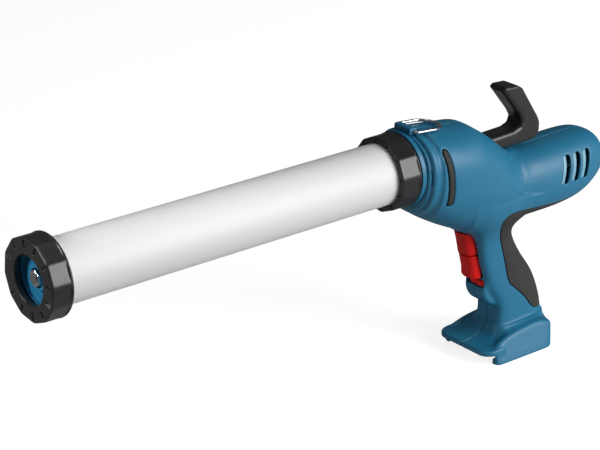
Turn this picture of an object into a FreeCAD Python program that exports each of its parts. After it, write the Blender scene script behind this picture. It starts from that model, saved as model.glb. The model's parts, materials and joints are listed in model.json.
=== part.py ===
"""Cordless caulking tool: a parametric model of its separate pieces.

The frame: the origin is the centre of the front cap's mouth, on the tube's axis.  +X runs back along the
tube, +Z is up, and -Y is the tool's left side.  All lengths are millimetres.
"""
import FreeCAD, Part
import math
import os
import re
import Sketcher
from FreeCAD import Placement, Rotation, Vector

SIZES = {
    # Clearances shared by all fits
    "running_gap": 0.05,
    "seat_gap": 0.02,
    "free_gap": 0.3,
    "thread_gap": 0.4,
    "overrun": 2.0,
    # Tube, front cap and union nut
    "tube_outer_radius": 28.0,
    "tube_wall": 1.6,
    "tube_length": 361.5,
    "tube_flange_radius": 30.2,
    "tube_flange_thickness": 3.0,
    "cap_length": 20.0,
    "cap_corner_radius": 35.2,
    "cap_chamfer": 2.2,
    "cap_mouth_radius": 21.0,
    "cap_wall": 4.5,
    "cap_notch_depth": 1.6,
    "cap_notch_width": 2.6,
    "cap_notch_length": 7.0,
    "cap_seal_thickness": 1.5,
    "cap_seal_inset": 1.5,
    "nut_length": 22.0,
    "nut_corner_radius": 33.8,
    "nut_chamfer": 1.6,
    "nut_lip": 4.0,
    "nut_washer_thickness": 1.2,
    "nut_rear_gap": 0.5,
    "tube_seal_thickness": 2.5,
    "tube_seal_inset": 0.8,
    "socket_flange_radius": 34.4,
    "socket_flange_thickness": 4.2,
    "socket_spigot_radius": 31.2,
    "socket_rear_flange_radius": 33.4,
    "socket_rear_flange_thickness": 2.6,
    # Piston and its fixing
    "piston_front": 8.0,
    "piston_thickness": 14.0,
    "piston_radius": 26.0,
    "piston_rim": 3.5,
    "piston_dish": 3.0,
    "piston_hub_radius": 11.0,
    "piston_hub_recess": 5.0,
    "piston_nut_well_radius": 8.6,
    "wiper_front": 4.0,
    "wiper_width": 5.0,
    "wiper_depth": 2.6,
    "piston_washer_radius": 8.0,
    "piston_washer_thickness": 1.2,
    "piston_nut_radius": 7.5,
    "piston_nut_thickness": 6.0,
    "stud_radius": 4.0,
    "stud_proud": 1.4,
    # Push rack and pull hook
    "rack_half_width": 6.0,
    "rack_top": 7.0,
    "rack_module": 2.0,
    "rack_pitch_drop": 8.0,
    "rack_plain_front": 14.0,
    "rack_plain_rear": 12.0,
    "rack_length": 486.0,
    "tail_length": 26.0,
    "tail_half_width": 5.0,
    "tail_half_height": 5.0,
    "hook_front": 484.5,
    "hook_reach": 61.0,
    "hook_height": 60.0,
    "hook_drop": 6.3,
    "hook_thickness": 20.0,
    "hook_edge_round": 3.5,
    "hook_bolt_radius": 2.5,
    "hook_bolt_setback": 12.0,
    "hook_bolt_head_radius": 4.4,
    "hook_bolt_head_depth": 3.2,
    "hook_well_depth": 3.6,
    # Blue body: gear housing, motor barrel, handle and battery foot
    "shell_wall": 3.2,
    "housing_length": 103.0,
    "housing_half_width": 41.0,
    "housing_top": 35.0,
    "housing_bottom": 80.0,
    "barrel_start": 69.0,
    "barrel_length": 175.5,
    "barrel_radius": 34.0,
    "motor_drop": 46.0,
    "handle_top_setback": 104.0,
    "handle_top_drop": 60.0,
    "handle_length": 132.0,
    "handle_lean": 38.2,
    "handle_half_length": 29.0,
    "handle_half_width": 19.0,
    "bump_radius": 21.0,
    "bump_half_width": 13.2,
    "bump_drop": 140.0,
    "bump_setback": 114.0,
    "bump_round": 3.5,
    "foot_setback": 91.0,
    "foot_length": 85.5,
    "foot_half_width": 38.0,
    "foot_bottom_drop": 209.0,
    "foot_height": 27.0,
    "foot_flank_lean": 8.2,
    "foot_round": 2.5,
    "foot_rear_bow": 17.5,
    "foot_dish_length": 19.0,
    "foot_dish_depth": 16.0,
    "foot_flank": 6.0,
    "lip_length": 23.0,
    "lip_half_width": 35.0,
    "lip_thickness": 5.4,
    "lip_corner": 12.0,
    "skirt_height": 11.0,
    "bay_half_width": 33.0,
    "bay_height": 9.8,
    "bay_rear_wall": 18.0,
    "rail_height": 6.0,
    "rail_depth": 3.0,
    "ceiling_thickness": 3.0,
    "foot_hollow_height": 9.0,
    # Slots in the body
    "side_slot_setback": 24.9,
    "side_slot_lean": 3.0,
    "side_slot_top": 17.5,
    "side_slot_bottom": 28.0,
    "side_slot_width": 5.8,
    "slot_depth": 14.0,
    "vent_setback": 180.5,
    "vent_pitch": 12.2,
    "vent_width": 5.0,
    "vent_height": 22.5,
    "vent_rise": 12.5,
    "vent_lean": 4.0,
    "vent_inner": 20.0,
    "vent_depth": 20.0,
    # Soft grip
    "grip_thickness": 1.5,
    # Rack exit, ribs and screws
    "exit_half_width": 10.6,
    "exit_top": 10.4,
    "exit_bottom": 7.0,
    "exit_depth": 12.0,
    "exit_reach": 16.0,
    "rib_thickness": 4.0,
    "screw_radius": 1.5,
    "screw_head_radius": 3.0,
    "screw_head_height": 2.4,
    "screw_seat": 7.0,
    "screw_length": 18.0,
    "boss_radius": 4.6,
    # Hanging ring
    "lug_setback": 0.6,
    "lug_length": 8.0,
    "lug_half_width": 10.4,
    "lug_top": 39.0,
    "lug_bottom": 25.0,
    "lug_round": 2.0,
    "ring_wire_radius": 1.4,
    "ring_pin_height": 36.0,
    "ring_half_width": 14.6,
    "ring_corner": 3.0,
    "ring_leg": 18.4,
    # Rod guides and gear frame
    "front_guide_length": 9.0,
    "front_guide_half_width": 22.0,
    "front_guide_half_height": 14.0,
    "rear_guide_length": 10.5,
    "rear_guide_half_width": 13.2,
    "rear_guide_top": 9.2,
    "rear_guide_bottom": 14.0,
    "guide_gap": 0.15,
    "plate_length": 62.0,
    "plate_thickness": 4.0,
    "plate_inner": 17.0,
    "plate_top": 21.0,
    "plate_bottom": 54.6,
    "bush_radius": 6.5,
    "bulkhead_thickness": 4.0,
    "bulkhead_top": 19.0,
    "bulkhead_bottom": 12.0,
    # Rack drive
    "pinion_setback": 45.0,
    "pinion_half_width": 7.0,
    "rack_shaft_radius": 5.0,
    "gear_module": 1.25,
    "gear_start": 12.0,
    "gear_width": 4.6,
    "clutch_shaft_radius": 4.0,
    "sleeve_radius": 6.2,
    "sleeve_right": 5.0,
    "clutch_travel": 3.0,
    "bevel_module": 1.5,
    "bevel_hub_length": 4.7,
    "roller_radius": 7.0,
    "roller_half_width": 7.0,
    "roller_pin_radius": 2.5,
    # Planetary gearbox
    "planet_module": 0.8,
    "gearbox_radius": 21.0,
    "gearbox_length": 24.0,
    "carrier_radius": 13.0,
    "carrier_thickness": 4.0,
    "carrier_gap": 2.0,
    "planet_width": 8.5,
    "planet_gap": 0.8,
    "planet_pin_radius": 1.6,
    # Motor
    "motor_radius": 22.0,
    "motor_length": 66.0,
    "motor_wall": 3.0,
    "bell_length": 13.0,
    "bell_wall": 5.0,
    "rotor_radius": 16.5,
    "rotor_length": 48.0,
    "rotor_setback": 8.0,
    "commutator_radius": 8.0,
    "commutator_length": 9.0,
    "rotor_shaft_radius": 2.0,
    "shaft_tail": 16.0,
    "bearing_radius": 6.5,
    "fan_gap": 3.0,
    "fan_length": 10.0,
    "fan_radius": 19.5,
    "fan_hub_radius": 6.0,
    "fan_disc": 2.0,
    "fan_blade_thickness": 1.6,
    # Trigger pieces and switch
    "opening_half_width": 10.3,
    "opening_top_drop": 79.8,
    "opening_height": 49.4,
    "opening_start": 56.0,
    "opening_depth": 44.0,
    "safety_setback": 70.5,
    "safety_depth": 19.5,
    "safety_top_drop": 80.4,
    "safety_height": 24.0,
    "trigger_setback": 77.0,
    "trigger_depth": 16.0,
    "trigger_top_drop": 105.2,
    "trigger_height": 23.4,
    "trigger_side_gap": 0.4,
    "trigger_round": 2.0,
    "stem_radius": 2.8,
    "stem_entry": 2.3,
    "stem_gap": 0.3,
    "trigger_stem_drop": 116.0,
    "safety_stem_drop": 96.5,
    "lock_setback": 94.0,
    "lock_length": 9.0,
    "lock_height": 7.0,
    "lock_drop": 135.5,
    "lock_half_width": 9.2,
    "lock_rest_shift": 2.0,
    "lock_round": 1.0,
    "switch_setback": 103.0,
    "switch_length": 17.0,
    "switch_top_drop": 92.0,
    "switch_height": 29.0,
    "switch_half_width": 9.4,
    "switch_bore_depth": 12.0,
    # Circuit board and battery terminals
    "board_setback": 119.0,
    "board_length": 30.0,
    "board_height": 34.0,
    "board_half_thickness": 0.8,
    "capacitor_radius": 4.0,
    "capacitor_height": 8.0,
    "chip_side": 9.0,
    "chip_height": 1.6,
    "terminal_setback": 117.0,
    "terminal_length": 30.0,
    "terminal_half_width": 13.5,
    "terminal_flange": 3.0,
    "terminal_flange_thickness": 3.0,
    "terminal_rise": 6.0,
    "terminal_drop": 8.0,
    "blade_length": 18.0,
    "blade_free": 9.0,
    "blade_height": 4.5,
    "blade_thickness": 0.8,
    "blade_pitch": 6.5,
    "blade_drop": 2.0,
}

# Counts
CAP_FACETS = 12
RACK_PINION_TEETH = 12
DRIVE_GEAR_TEETH = 30
IDLER_TEETH = 14
BEVEL_TEETH = 16
SUN_TEETH = 12
PLANET_TEETH = 15
RING_TEETH = SUN_TEETH + 2 * PLANET_TEETH
PLANETS = 3
FAN_BLADES = 9
SECTION_POINTS = 24
RING_DROOP = 5
HOUSING_SQUARENESS = 2.3
FRONT_SQUARENESS = 3.0
REAR_SQUARENESS = 2.2
FLANK_STEPS = 4
BLADES = 4
VENTS = 3

# Gear proportions, as shares of the module
ADDENDUM_SHARE = 0.85
RACK_ADDENDUM_SHARE = 0.7
DEDENDUM_SHARE = 1.2
BACKLASH_SHARE = 0.12
BEVEL_BACKLASH_SHARE = 0.3
BEVEL_FACE_SHARE = 0.6
PRESSURE_ANGLE = math.radians(20)

# Gear housing sections: place along its length, then half width, top, middle and bottom as shares
HOUSING_SHARES = [
    (0.0, 0.905, 0.971, 0.0, -0.488),
    (0.058, 0.95, 0.977, 0.0, -0.538),
    (0.136, 0.985, 0.954, 0.0, -0.60),
    (0.282, 1.0, 0.914, -0.025, -0.712),
    (0.427, 1.0, 0.869, -0.062, -0.812),
    (0.573, 0.98, 0.829, -0.112, -0.90),
    (0.67, 0.956, 0.789, -0.162, -0.95),
    (0.748, 0.932, 0.657, -0.212, -0.981),
    (0.835, 0.902, 0.491, -0.275, -1.0),
    (0.932, 0.868, 0.291, -0.35, -1.0),
    (1.02, 0.82, 0.086, -0.412, -1.0),
    (1.107, 0.746, -0.143, -0.475, -0.988),
    (1.194, 0.634, -0.371, -0.525, -0.95),
]
# Motor barrel sections: place along its length, radius share, and lift as a share of the radius
BARREL_SHARES = [
    (0.0, 0.812, 0.03),
    (0.142, 0.944, 0.03),
    (0.285, 0.988, 0.03),
    (0.427, 1.0, 0.03),
    (0.627, 1.0, 0.035),
    (0.752, 0.959, 0.065),
    (0.82, 0.876, 0.088),
    (0.872, 0.782, 0.088),
    (0.917, 0.659, 0.059),
    (0.952, 0.524, 0.0),
    (0.98, 0.365, -0.076),
    (1.0, 0.206, -0.132),
]
# Handle sections: place down its length, lean share, half length share and half width share
HANDLE_SHARES = [
    (0.0, 0.0, 0.931, 1.368),
    (0.152, 0.021, 0.803, 1.105),
    (0.288, 0.144, 0.845, 1.016),
    (0.417, 0.327, 0.941, 0.989),
    (0.598, 0.673, 1.076, 0.974),
    (0.754, 0.948, 1.024, 0.974),
    (0.902, 1.021, 1.103, 0.989),
    (1.0, 1.0, 1.179, 1.053),
]
SKIRT_TOP_SHARES = (1.14, 1.07)
SKIRT_BOTTOM_SHARES = (1.24, 1.15)
# Foot's upper edge from front to rear, as shares of its length and height
FOOT_SHARES = [
    (0.0, 0.54),
    (0.088, 0.696),
    (0.222, 0.844),
    (0.363, 0.926),
    (0.51, 0.97),
    (0.70, 1.0),
    (0.83, 0.911),
    (1.0, 0.667),
]
# Soft grip outline, as shares of the handle's length back from and below the handle's top
GRIP_FRONT_SHARES = [
    (0.667, 0.099),
    (0.417, 0.076),
    (0.236, 0.079),
    (0.106, 0.094),
    (0.049, 0.125),
    (0.026, 0.197),
    (0.049, 0.307),
    (0.076, 0.409),
    (0.108, 0.507),
    (0.164, 0.615),
    (0.27, 0.698),
    (0.343, 0.80),
    (0.432, 0.853),
    (0.60, 0.871),
]
GRIP_REAR_SHARES = [(0.773, 0.848), (0.803, 0.455), (0.803, 0.167)]
# Pull hook outline, as shares of its reach and height from its lower front corner
HOOK_SHARES = [
    (0.0, 0.0),
    (0.86, 0.0),
    (0.965, 0.045),
    (1.0, 0.15),
    (0.995, 0.27),
    (0.95, 0.37),
    (0.60, 0.92),
    (0.50, 0.985),
    (0.30, 1.0),
    (0.23, 0.945),
    (0.57, 0.50),
    (0.635, 0.38),
    (0.60, 0.29),
    (0.48, 0.245),
    (0.0, 0.23),
]
# Trigger outlines, as shares of their depth and height from their upper front corner
TRIGGER_SHARES = [
    (0.04, 0.0),
    (0.12, 0.25),
    (0.25, 0.60),
    (0.28, 0.92),
    (0.38, 1.0),
    (1.0, 1.0),
    (0.97, 0.0),
]
SAFETY_SHARES = [
    (0.0, 0.0),
    (0.14, 0.38),
    (0.23, 0.70),
    (0.30, 0.97),
    (1.0, 0.97),
    (0.92, 0.0),
]
STEM_ROOT_SHARE = 0.9
# Gear plate outline, as shares of its length, and of its top or bottom
PLATE_TOP_SHARES = [(1.0, 0.2), (0.70, 1.0), (0.22, 1.0), (0.0, 0.45)]
PLATE_BOTTOM_SHARES = [(0.0, 0.52), (0.40, 0.76), (0.50, 0.955), (0.64, 1.0), (1.0, 1.0)]
# Shell screws: back from the housing's front and up from the tube's axis, as shares of the housing's length
SCREW_SHARES = [
    (0.135, 0.26),
    (0.735, 0.15),
    (0.13, -0.33),
    (2.14, -0.40),
    (1.22, -0.86),
    (1.505, -1.534),
    (1.50, -1.806),
]
RIB_SHARES = (0.18, 0.62, 1.0)
CAPACITOR_SHARES = (0.3, 0.75)
CHIP_SHARES = (0.6, 0.3)

doc = FreeCAD.newDocument("caulking_tool")
sheet = doc.addObject("Spreadsheet::Sheet", "Sizes")
for row, (alias, number) in enumerate(SIZES.items(), start=1):
    sheet.set(f"A{row}", alias)
    sheet.set(f"B{row}", str(number))
    sheet.setAlias(f"B{row}", alias)
doc.recompute()

nodes = []


def bind(expression):
    """Write the sheet's name before each of its aliases in an expression."""
    def named(found):
        word = found.group()
        return "Sizes." + word if word in SIZES else word
    return re.sub(r"[a-z_]+", named, expression)


def value(expression):
    """The number that an expression over the sheet's sizes gives."""
    return float(sheet.evalExpression(bind(expression)))


# Places along X, worked out from the driving sizes
TUBE_FRONT = "(cap_wall + cap_seal_thickness)"
TUBE_REAR = f"({TUBE_FRONT} + tube_length)"
TUBE_BORE = "(tube_outer_radius - tube_wall)"
NUT_FRONT = f"({TUBE_REAR} - tube_flange_thickness - nut_washer_thickness - nut_lip)"
SOCKET_FRONT = f"({TUBE_REAR} + tube_seal_thickness)"
SOCKET_FLANGE = f"({NUT_FRONT} + nut_length + nut_rear_gap)"
HOUSING_FRONT = f"({SOCKET_FLANGE} + socket_flange_thickness)"
SOCKET_REAR = f"({HOUSING_FRONT} + shell_wall + socket_rear_flange_thickness)"
PLATE_FRONT = f"({SOCKET_REAR} + front_guide_length)"
PLATE_REAR = f"({PLATE_FRONT} + plate_length)"
PLATE_OUTER = "(plate_inner + plate_thickness)"
PISTON_REAR = "(piston_front + piston_thickness)"
RACK_REAR = f"({PISTON_REAR} + rack_length)"
PINION_X = f"({HOUSING_FRONT} + pinion_setback)"
PINION_PITCH = f"(rack_module * {RACK_PINION_TEETH} / 2)"
PINION_DROP = f"(rack_pitch_drop + {PINION_PITCH})"
GEAR_CENTRES = f"(gear_module * ({DRIVE_GEAR_TEETH} + {IDLER_TEETH}) / 2)"
CLUTCH_DROP = f"(motor_drop - {PINION_DROP})"
CLUTCH_X = f"({PINION_X} + sqrt(pow({GEAR_CENTRES}; 2) - pow({CLUTCH_DROP}; 2)))"
BEVEL_PITCH = f"(bevel_module * {BEVEL_TEETH} / 2)"
SLEEVE_LEFT = f"(clutch_travel + free_gap - {BEVEL_FACE_SHARE} * {BEVEL_PITCH})"
BEVEL_BACK = f"({BEVEL_PITCH} + bevel_hub_length)"
GEARBOX_FRONT = f"({PLATE_REAR} + bulkhead_thickness)"
GEARBOX_REAR = f"({GEARBOX_FRONT} + gearbox_length)"
CARRIER_FRONT = f"({GEARBOX_FRONT} + carrier_gap)"
CARRIER_REAR = f"({CARRIER_FRONT} + carrier_thickness)"
PLANET_FRONT = f"({CARRIER_REAR} + planet_gap)"
PLANET_ORBIT = f"(planet_module * ({SUN_TEETH} + {PLANET_TEETH}) / 2)"
MOTOR_REAR = f"({GEARBOX_REAR} + motor_length)"
BELL_REAR = f"({MOTOR_REAR} + bell_length)"
ROTOR_FRONT = f"({GEARBOX_REAR} + rotor_setback)"
ROTOR_REAR = f"({ROTOR_FRONT} + rotor_length)"
FAN_FRONT = f"({BELL_REAR} + fan_gap)"
ROLLER_Z = "(rack_top + free_gap + roller_radius)"
BAY_CEILING = "(foot_bottom_drop - bay_height)"
CEILING_TOP = f"({BAY_CEILING} - ceiling_thickness)"
HANDLE_TOP_X = f"({HOUSING_FRONT} + handle_top_setback)"


def place(piece, at, turn):
    """Put a piece at three expressions, turned by a fixed rotation."""
    piece.Placement = Placement(Vector(), turn)
    for axis, expression in zip("xyz", at):
        piece.setExpression(f"Placement.Base.{axis}", bind(expression))
    return piece


ALONG_X = Rotation(Vector(0, 1, 0), 90)
ALONG_Y = Rotation(Vector(1, 0, 0), -90)
X_TO_Y = Rotation(Vector(0, 0, 1), 90)
UPRIGHT = Rotation()
ORIGIN = ("0", "0", "0")
MOTOR_AXIS = ("0", "0", "-motor_drop")


def keep(piece, label):
    """Name a finished piece and list it for writing."""
    piece.Label = label
    nodes.append(piece)
    return piece


def rod(name, radius, length, at, turn):
    """Round bar from a place, along the direction that its rotation gives."""
    bar = doc.addObject("Part::Cylinder", name)
    bar.setExpression("Radius", bind(radius))
    bar.setExpression("Height", bind(length))
    return place(bar, at, turn)


def block(name, low, high):
    """Box between two corners, each three expressions."""
    box = doc.addObject("Part::Box", name)
    for side, start, end in zip(("Length", "Width", "Height"), low, high):
        box.setExpression(side, bind(f"({end}) - ({start})"))
    return place(box, low, UPRIGHT)


def cut(name, base, tools):
    """One piece less one or more tools."""
    piece = doc.addObject("Part::Cut", name)
    piece.Base = base
    piece.Tool = tools[0] if len(tools) == 1 else joined(name + "_tools", tools)
    return piece


def joined(name, pieces):
    """Several shapes made one."""
    whole = doc.addObject("Part::MultiFuse", name)
    whole.Shapes = pieces
    return whole


def rounded(name, base, radius, chosen, kind="Part::Fillet"):
    """A piece with the chosen edges rounded or chamfered."""
    doc.recompute()
    limit = value(radius)
    piece = doc.addObject(kind, name)
    piece.Base = base
    edges = enumerate(base.Shape.Edges, start=1)
    piece.Edges = [(number, limit, limit) for number, edge in edges if chosen(edge)]
    return piece


def outline_sketch(body, role, outline):
    """Closed outline of straight sides, each corner held by two sizes from the sheet."""
    sketch = body.newObject("Sketcher::SketchObject", body.Name + "_outline")
    plane = [feature for feature in body.Origin.OriginFeatures if feature.Role == role][0]
    sketch.AttachmentSupport = [(plane, "")]
    sketch.MapMode = "FlatFace"
    corners = [Vector(value(across), value(up), 0) for across, up in outline]
    count = len(corners)
    for side in range(count):
        sketch.addGeometry(Part.LineSegment(corners[side], corners[(side + 1) % count]), False)
    for side in range(count):
        sketch.addConstraint(Sketcher.Constraint("Coincident", side, 2, (side + 1) % count, 1))
    for side, expressions in enumerate(outline):
        for kind, axis, expression in zip(("DistanceX", "DistanceY"), (-2, -1), expressions):
            if expression == "0":
                sketch.addConstraint(Sketcher.Constraint("PointOnObject", side, 1, axis))
                continue
            held = Sketcher.Constraint(kind, -1, 1, side, 1, value(expression))
            index = sketch.addConstraint(held)
            sketch.setExpression(f"Constraints[{index}]", bind(expression))
    return sketch


def turned(name, profile, at=ORIGIN, turn=UPRIGHT):
    """Turned piece: a profile of (place along the axis, radius) spun about its own X axis."""
    body = doc.addObject("PartDesign::Body", name)
    sketch = outline_sketch(body, "XY_Plane", profile)
    spin = body.newObject("PartDesign::Revolution", name + "_spin")
    spin.Profile = (sketch, [""])
    spin.ReferenceAxis = (sketch, ["H_Axis"])
    spin.Angle = 360
    return place(body, at, turn)


def collar(name, start, end, inner, outer, at=ORIGIN, turn=UPRIGHT):
    """Plain turned ring."""
    profile = [(start, inner), (end, inner), (end, outer), (start, outer)]
    return turned(name, profile, at, turn)


def slab(name, outline, thickness, at=ORIGIN):
    """Flat piece with an outline in X and Z and its thickness centred on Y."""
    body = doc.addObject("PartDesign::Body", name)
    sketch = outline_sketch(body, "XZ_Plane", outline)
    pad = body.newObject("PartDesign::Pad", name + "_pad")
    pad.Profile = (sketch, [""])
    pad.SideType = "Symmetric"
    pad.setExpression("Length", bind(thickness))
    return place(body, at, UPRIGHT)


def shaped(name, shape):
    """Piece whose shape is worked out from the sheet's sizes below."""
    piece = doc.addObject("Part::Feature", name)
    piece.Shape = shape
    return piece


def share_outline(shares, across, down):
    """Outline from shares of a width and a depth, given as expressions."""
    return [(f"{u} * {across}" if u else "0", f"{v} * {down}" if v else "0") for u, v in shares]


# Front cap, tube and union nut
def faceted_ring(name, front, length, corner_radius, chamfer, lip, lip_radius, bore_radius):
    """Twelve-sided ring with a lip at its front and a wider bore behind the lip."""
    flat_up = Rotation(Vector(0, 0, 1), 180 / CAP_FACETS)
    blank = doc.addObject("Part::Prism", name + "_blank")
    blank.Polygon = CAP_FACETS
    blank.setExpression("Circumradius", bind(corner_radius))
    blank.setExpression("Height", bind(length))
    place(blank, (front, "0", "0"), ALONG_X.multiply(flat_up))

    def rim(edge):
        return edge.BoundBox.XLength < value("seat_gap")

    eased = rounded(name + "_eased", blank, chamfer, rim, "Part::Chamfer")
    mouth = rod(name + "_mouth", lip_radius, f"{lip} + 2 * overrun", (f"{front} - overrun", "0", "0"), ALONG_X)
    bore = rod(name + "_bore", bore_radius, f"{length} + overrun", (f"{front} + {lip}", "0", "0"), ALONG_X)
    notches = []
    for facet in range(CAP_FACETS):
        notch = doc.addObject("Part::Box", f"{name}_notch_{facet}")
        notch.setExpression("Length", bind("cap_notch_depth + overrun"))
        notch.setExpression("Width", bind("cap_notch_width"))
        notch.setExpression("Height", bind("cap_notch_length"))
        angle = math.pi / CAP_FACETS * (2 * facet + 1)
        notch.Placement = Placement(Vector(), Rotation(Vector(1, 0, 0), math.degrees(angle) - 90))
        reach = f"({corner_radius} - cap_chamfer - cap_notch_length)"
        side = "cap_notch_width / 2"
        turns = (math.cos(angle), math.sin(angle))
        notch.setExpression("Placement.Base.x", bind(f"{front} - overrun"))
        notch.setExpression("Placement.Base.y", bind(f"{reach} * {turns[0]} - {side} * {turns[1]}"))
        notch.setExpression("Placement.Base.z", bind(f"{reach} * {turns[1]} + {side} * {turns[0]}"))
        notches.append(notch)
    return keep(cut(name, eased, [mouth, bore] + notches), name)


def tube_group():
    """The tube with its cap, its union nut, their seals and the socket on the body."""
    faceted_ring("front_cap", "0", "cap_length", "cap_corner_radius", "cap_chamfer", "cap_wall",
                 "cap_mouth_radius", "(tube_outer_radius + free_gap)")
    faceted_ring("rear_union_nut", NUT_FRONT, "nut_length", "nut_corner_radius", "nut_chamfer", "nut_lip",
                 "(tube_outer_radius + thread_gap)", "(tube_flange_radius + thread_gap)")
    seal_inner = "cap_mouth_radius + cap_seal_inset"
    keep(collar("cap_seal", "cap_wall", TUBE_FRONT, seal_inner, "tube_outer_radius"), "cap_seal")
    flange_front = f"{TUBE_REAR} - tube_flange_thickness"
    sleeve = [(TUBE_FRONT, TUBE_BORE), (TUBE_REAR, TUBE_BORE), (TUBE_REAR, "tube_flange_radius"),
              (flange_front, "tube_flange_radius"), (flange_front, "tube_outer_radius"),
              (TUBE_FRONT, "tube_outer_radius")]
    keep(turned("tube", sleeve), "tube")
    keep(collar("nut_washer", f"{NUT_FRONT} + nut_lip", flange_front, "tube_outer_radius + thread_gap",
                "tube_flange_radius"), "nut_washer")
    keep(collar("tube_seal", TUBE_REAR, SOCKET_FRONT, f"{TUBE_BORE} + tube_seal_inset",
                "tube_flange_radius - tube_seal_inset"), "tube_seal")
    wall_rear = f"{HOUSING_FRONT} + shell_wall"
    socket = [(SOCKET_FRONT, TUBE_BORE), (SOCKET_REAR, TUBE_BORE),
              (SOCKET_REAR, "socket_rear_flange_radius"), (wall_rear, "socket_rear_flange_radius"),
              (wall_rear, "socket_spigot_radius"), (HOUSING_FRONT, "socket_spigot_radius"),
              (HOUSING_FRONT, "socket_flange_radius"), (SOCKET_FLANGE, "socket_flange_radius"),
              (SOCKET_FLANGE, "tube_flange_radius"), (SOCKET_FRONT, "tube_flange_radius")]
    keep(turned("tube_socket", socket), "tube_socket")


# Piston, push rack and pull hook
def piston_group():
    """Plunger disc with its wiper, and the washer and nut that hold it on the rack's stud."""
    hub = "piston_hub_radius"
    rim = "piston_radius - piston_rim"
    dish = "piston_front + piston_dish"
    well = "piston_front + piston_hub_recess"
    groove = "piston_front + wiper_front"
    groove_end = f"{groove} + wiper_width"
    floor = "piston_radius - wiper_depth"
    bore = "stud_radius + seat_gap"
    profile = [(well, bore), (PISTON_REAR, bore), (PISTON_REAR, "piston_radius"), (groove_end, "piston_radius"),
               (groove_end, floor), (groove, floor), (groove, "piston_radius"), ("piston_front", "piston_radius"),
               ("piston_front", rim), (dish, rim), (dish, hub), ("piston_front", hub),
               ("piston_front", "piston_nut_well_radius"), (well, "piston_nut_well_radius")]
    keep(turned("piston_plate", profile), "piston_plate")
    wiper_outer = f"{TUBE_BORE} - free_gap"
    keep(collar("piston_wiper", groove, groove_end, floor, wiper_outer), "piston_wiper")
    washer_front = f"{well} - piston_washer_thickness"
    keep(collar("piston_washer", washer_front, well, bore, "piston_washer_radius"), "piston_washer")
    nut_front = f"{washer_front} - piston_nut_thickness"
    blank = doc.addObject("Part::Prism", "piston_nut_blank")
    blank.Polygon = 6
    blank.setExpression("Circumradius", bind("piston_nut_radius"))
    blank.setExpression("Height", bind("piston_nut_thickness"))
    place(blank, (nut_front, "0", "0"), ALONG_X)
    hole = rod("piston_nut_hole", bore, "piston_nut_thickness + 2 * overrun",
               (f"{nut_front} - overrun", "0", "0"), ALONG_X)
    keep(cut("piston_nut", blank, [hole]), "piston_nut")


def rack_tooth_places():
    """Centres of the rack's tooth gaps, in step with the pinion."""
    pitch = math.pi * value("rack_module")
    first = value(f"{PISTON_REAR} + rack_plain_front")
    last = value(f"{RACK_REAR} - tail_length - rack_plain_rear")
    centre = value(PINION_X)
    low = math.ceil((first - centre) / pitch)
    high = math.floor((last - centre) / pitch)
    return [centre + step * pitch for step in range(low, high + 1)]


def push_rack():
    """Toothed steel bar with a threaded stud at its front and a plain tail for the hook."""
    module = value("rack_module")
    pitch_z = -value("rack_pitch_drop")
    tip = pitch_z - RACK_ADDENDUM_SHARE * module
    root = pitch_z + DEDENDUM_SHARE * module
    slope = math.tan(PRESSURE_ANGLE)
    gap_half = (math.pi / 4 + BACKLASH_SHARE / 2) * module
    front = value(PISTON_REAR)
    tail_front = value(f"{RACK_REAR} - tail_length")
    rear = value(RACK_REAR)
    half_height = value("tail_half_height")
    top = value("rack_top")
    points = [(front, top), (front, tip)]
    for centre in rack_tooth_places():
        mouth = gap_half + (pitch_z - tip) * slope
        floor = gap_half - (root - pitch_z) * slope
        points += [(centre - mouth, tip), (centre - floor, root), (centre + floor, root), (centre + mouth, tip)]
    points += [(tail_front, tip), (tail_front, -half_height), (rear, -half_height), (rear, half_height)]
    points += [(tail_front, half_height), (tail_front, top), (front, top)]
    half_width = value("rack_half_width")
    corners = [Vector(x, -half_width, z) for x, z in points]
    bar = Part.Face(Part.makePolygon(corners)).extrude(Vector(0, 2 * half_width, 0))
    spare = half_width - value("tail_half_width")
    for side in (-half_width, half_width - spare):
        low = Vector(tail_front, side, -half_height)
        bar = bar.cut(Part.makeBox(rear - tail_front, spare, 2 * half_height, low))
    stud_front = value("piston_front + piston_hub_recess - piston_washer_thickness - piston_nut_thickness"
                       " - stud_proud")
    stud = Part.makeCylinder(value("stud_radius"), front - stud_front, Vector(stud_front, 0, 0), Vector(1, 0, 0))
    across = Vector(value(f"{RACK_REAR} - hook_bolt_setback"), -half_width, 0)
    hole = Part.makeCylinder(value("hook_bolt_radius + seat_gap"), 2 * half_width, across, Vector(0, 1, 0))
    keep(shaped("push_rack", bar.fuse(stud).cut(hole).removeSplitter()), "push_rack")


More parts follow.
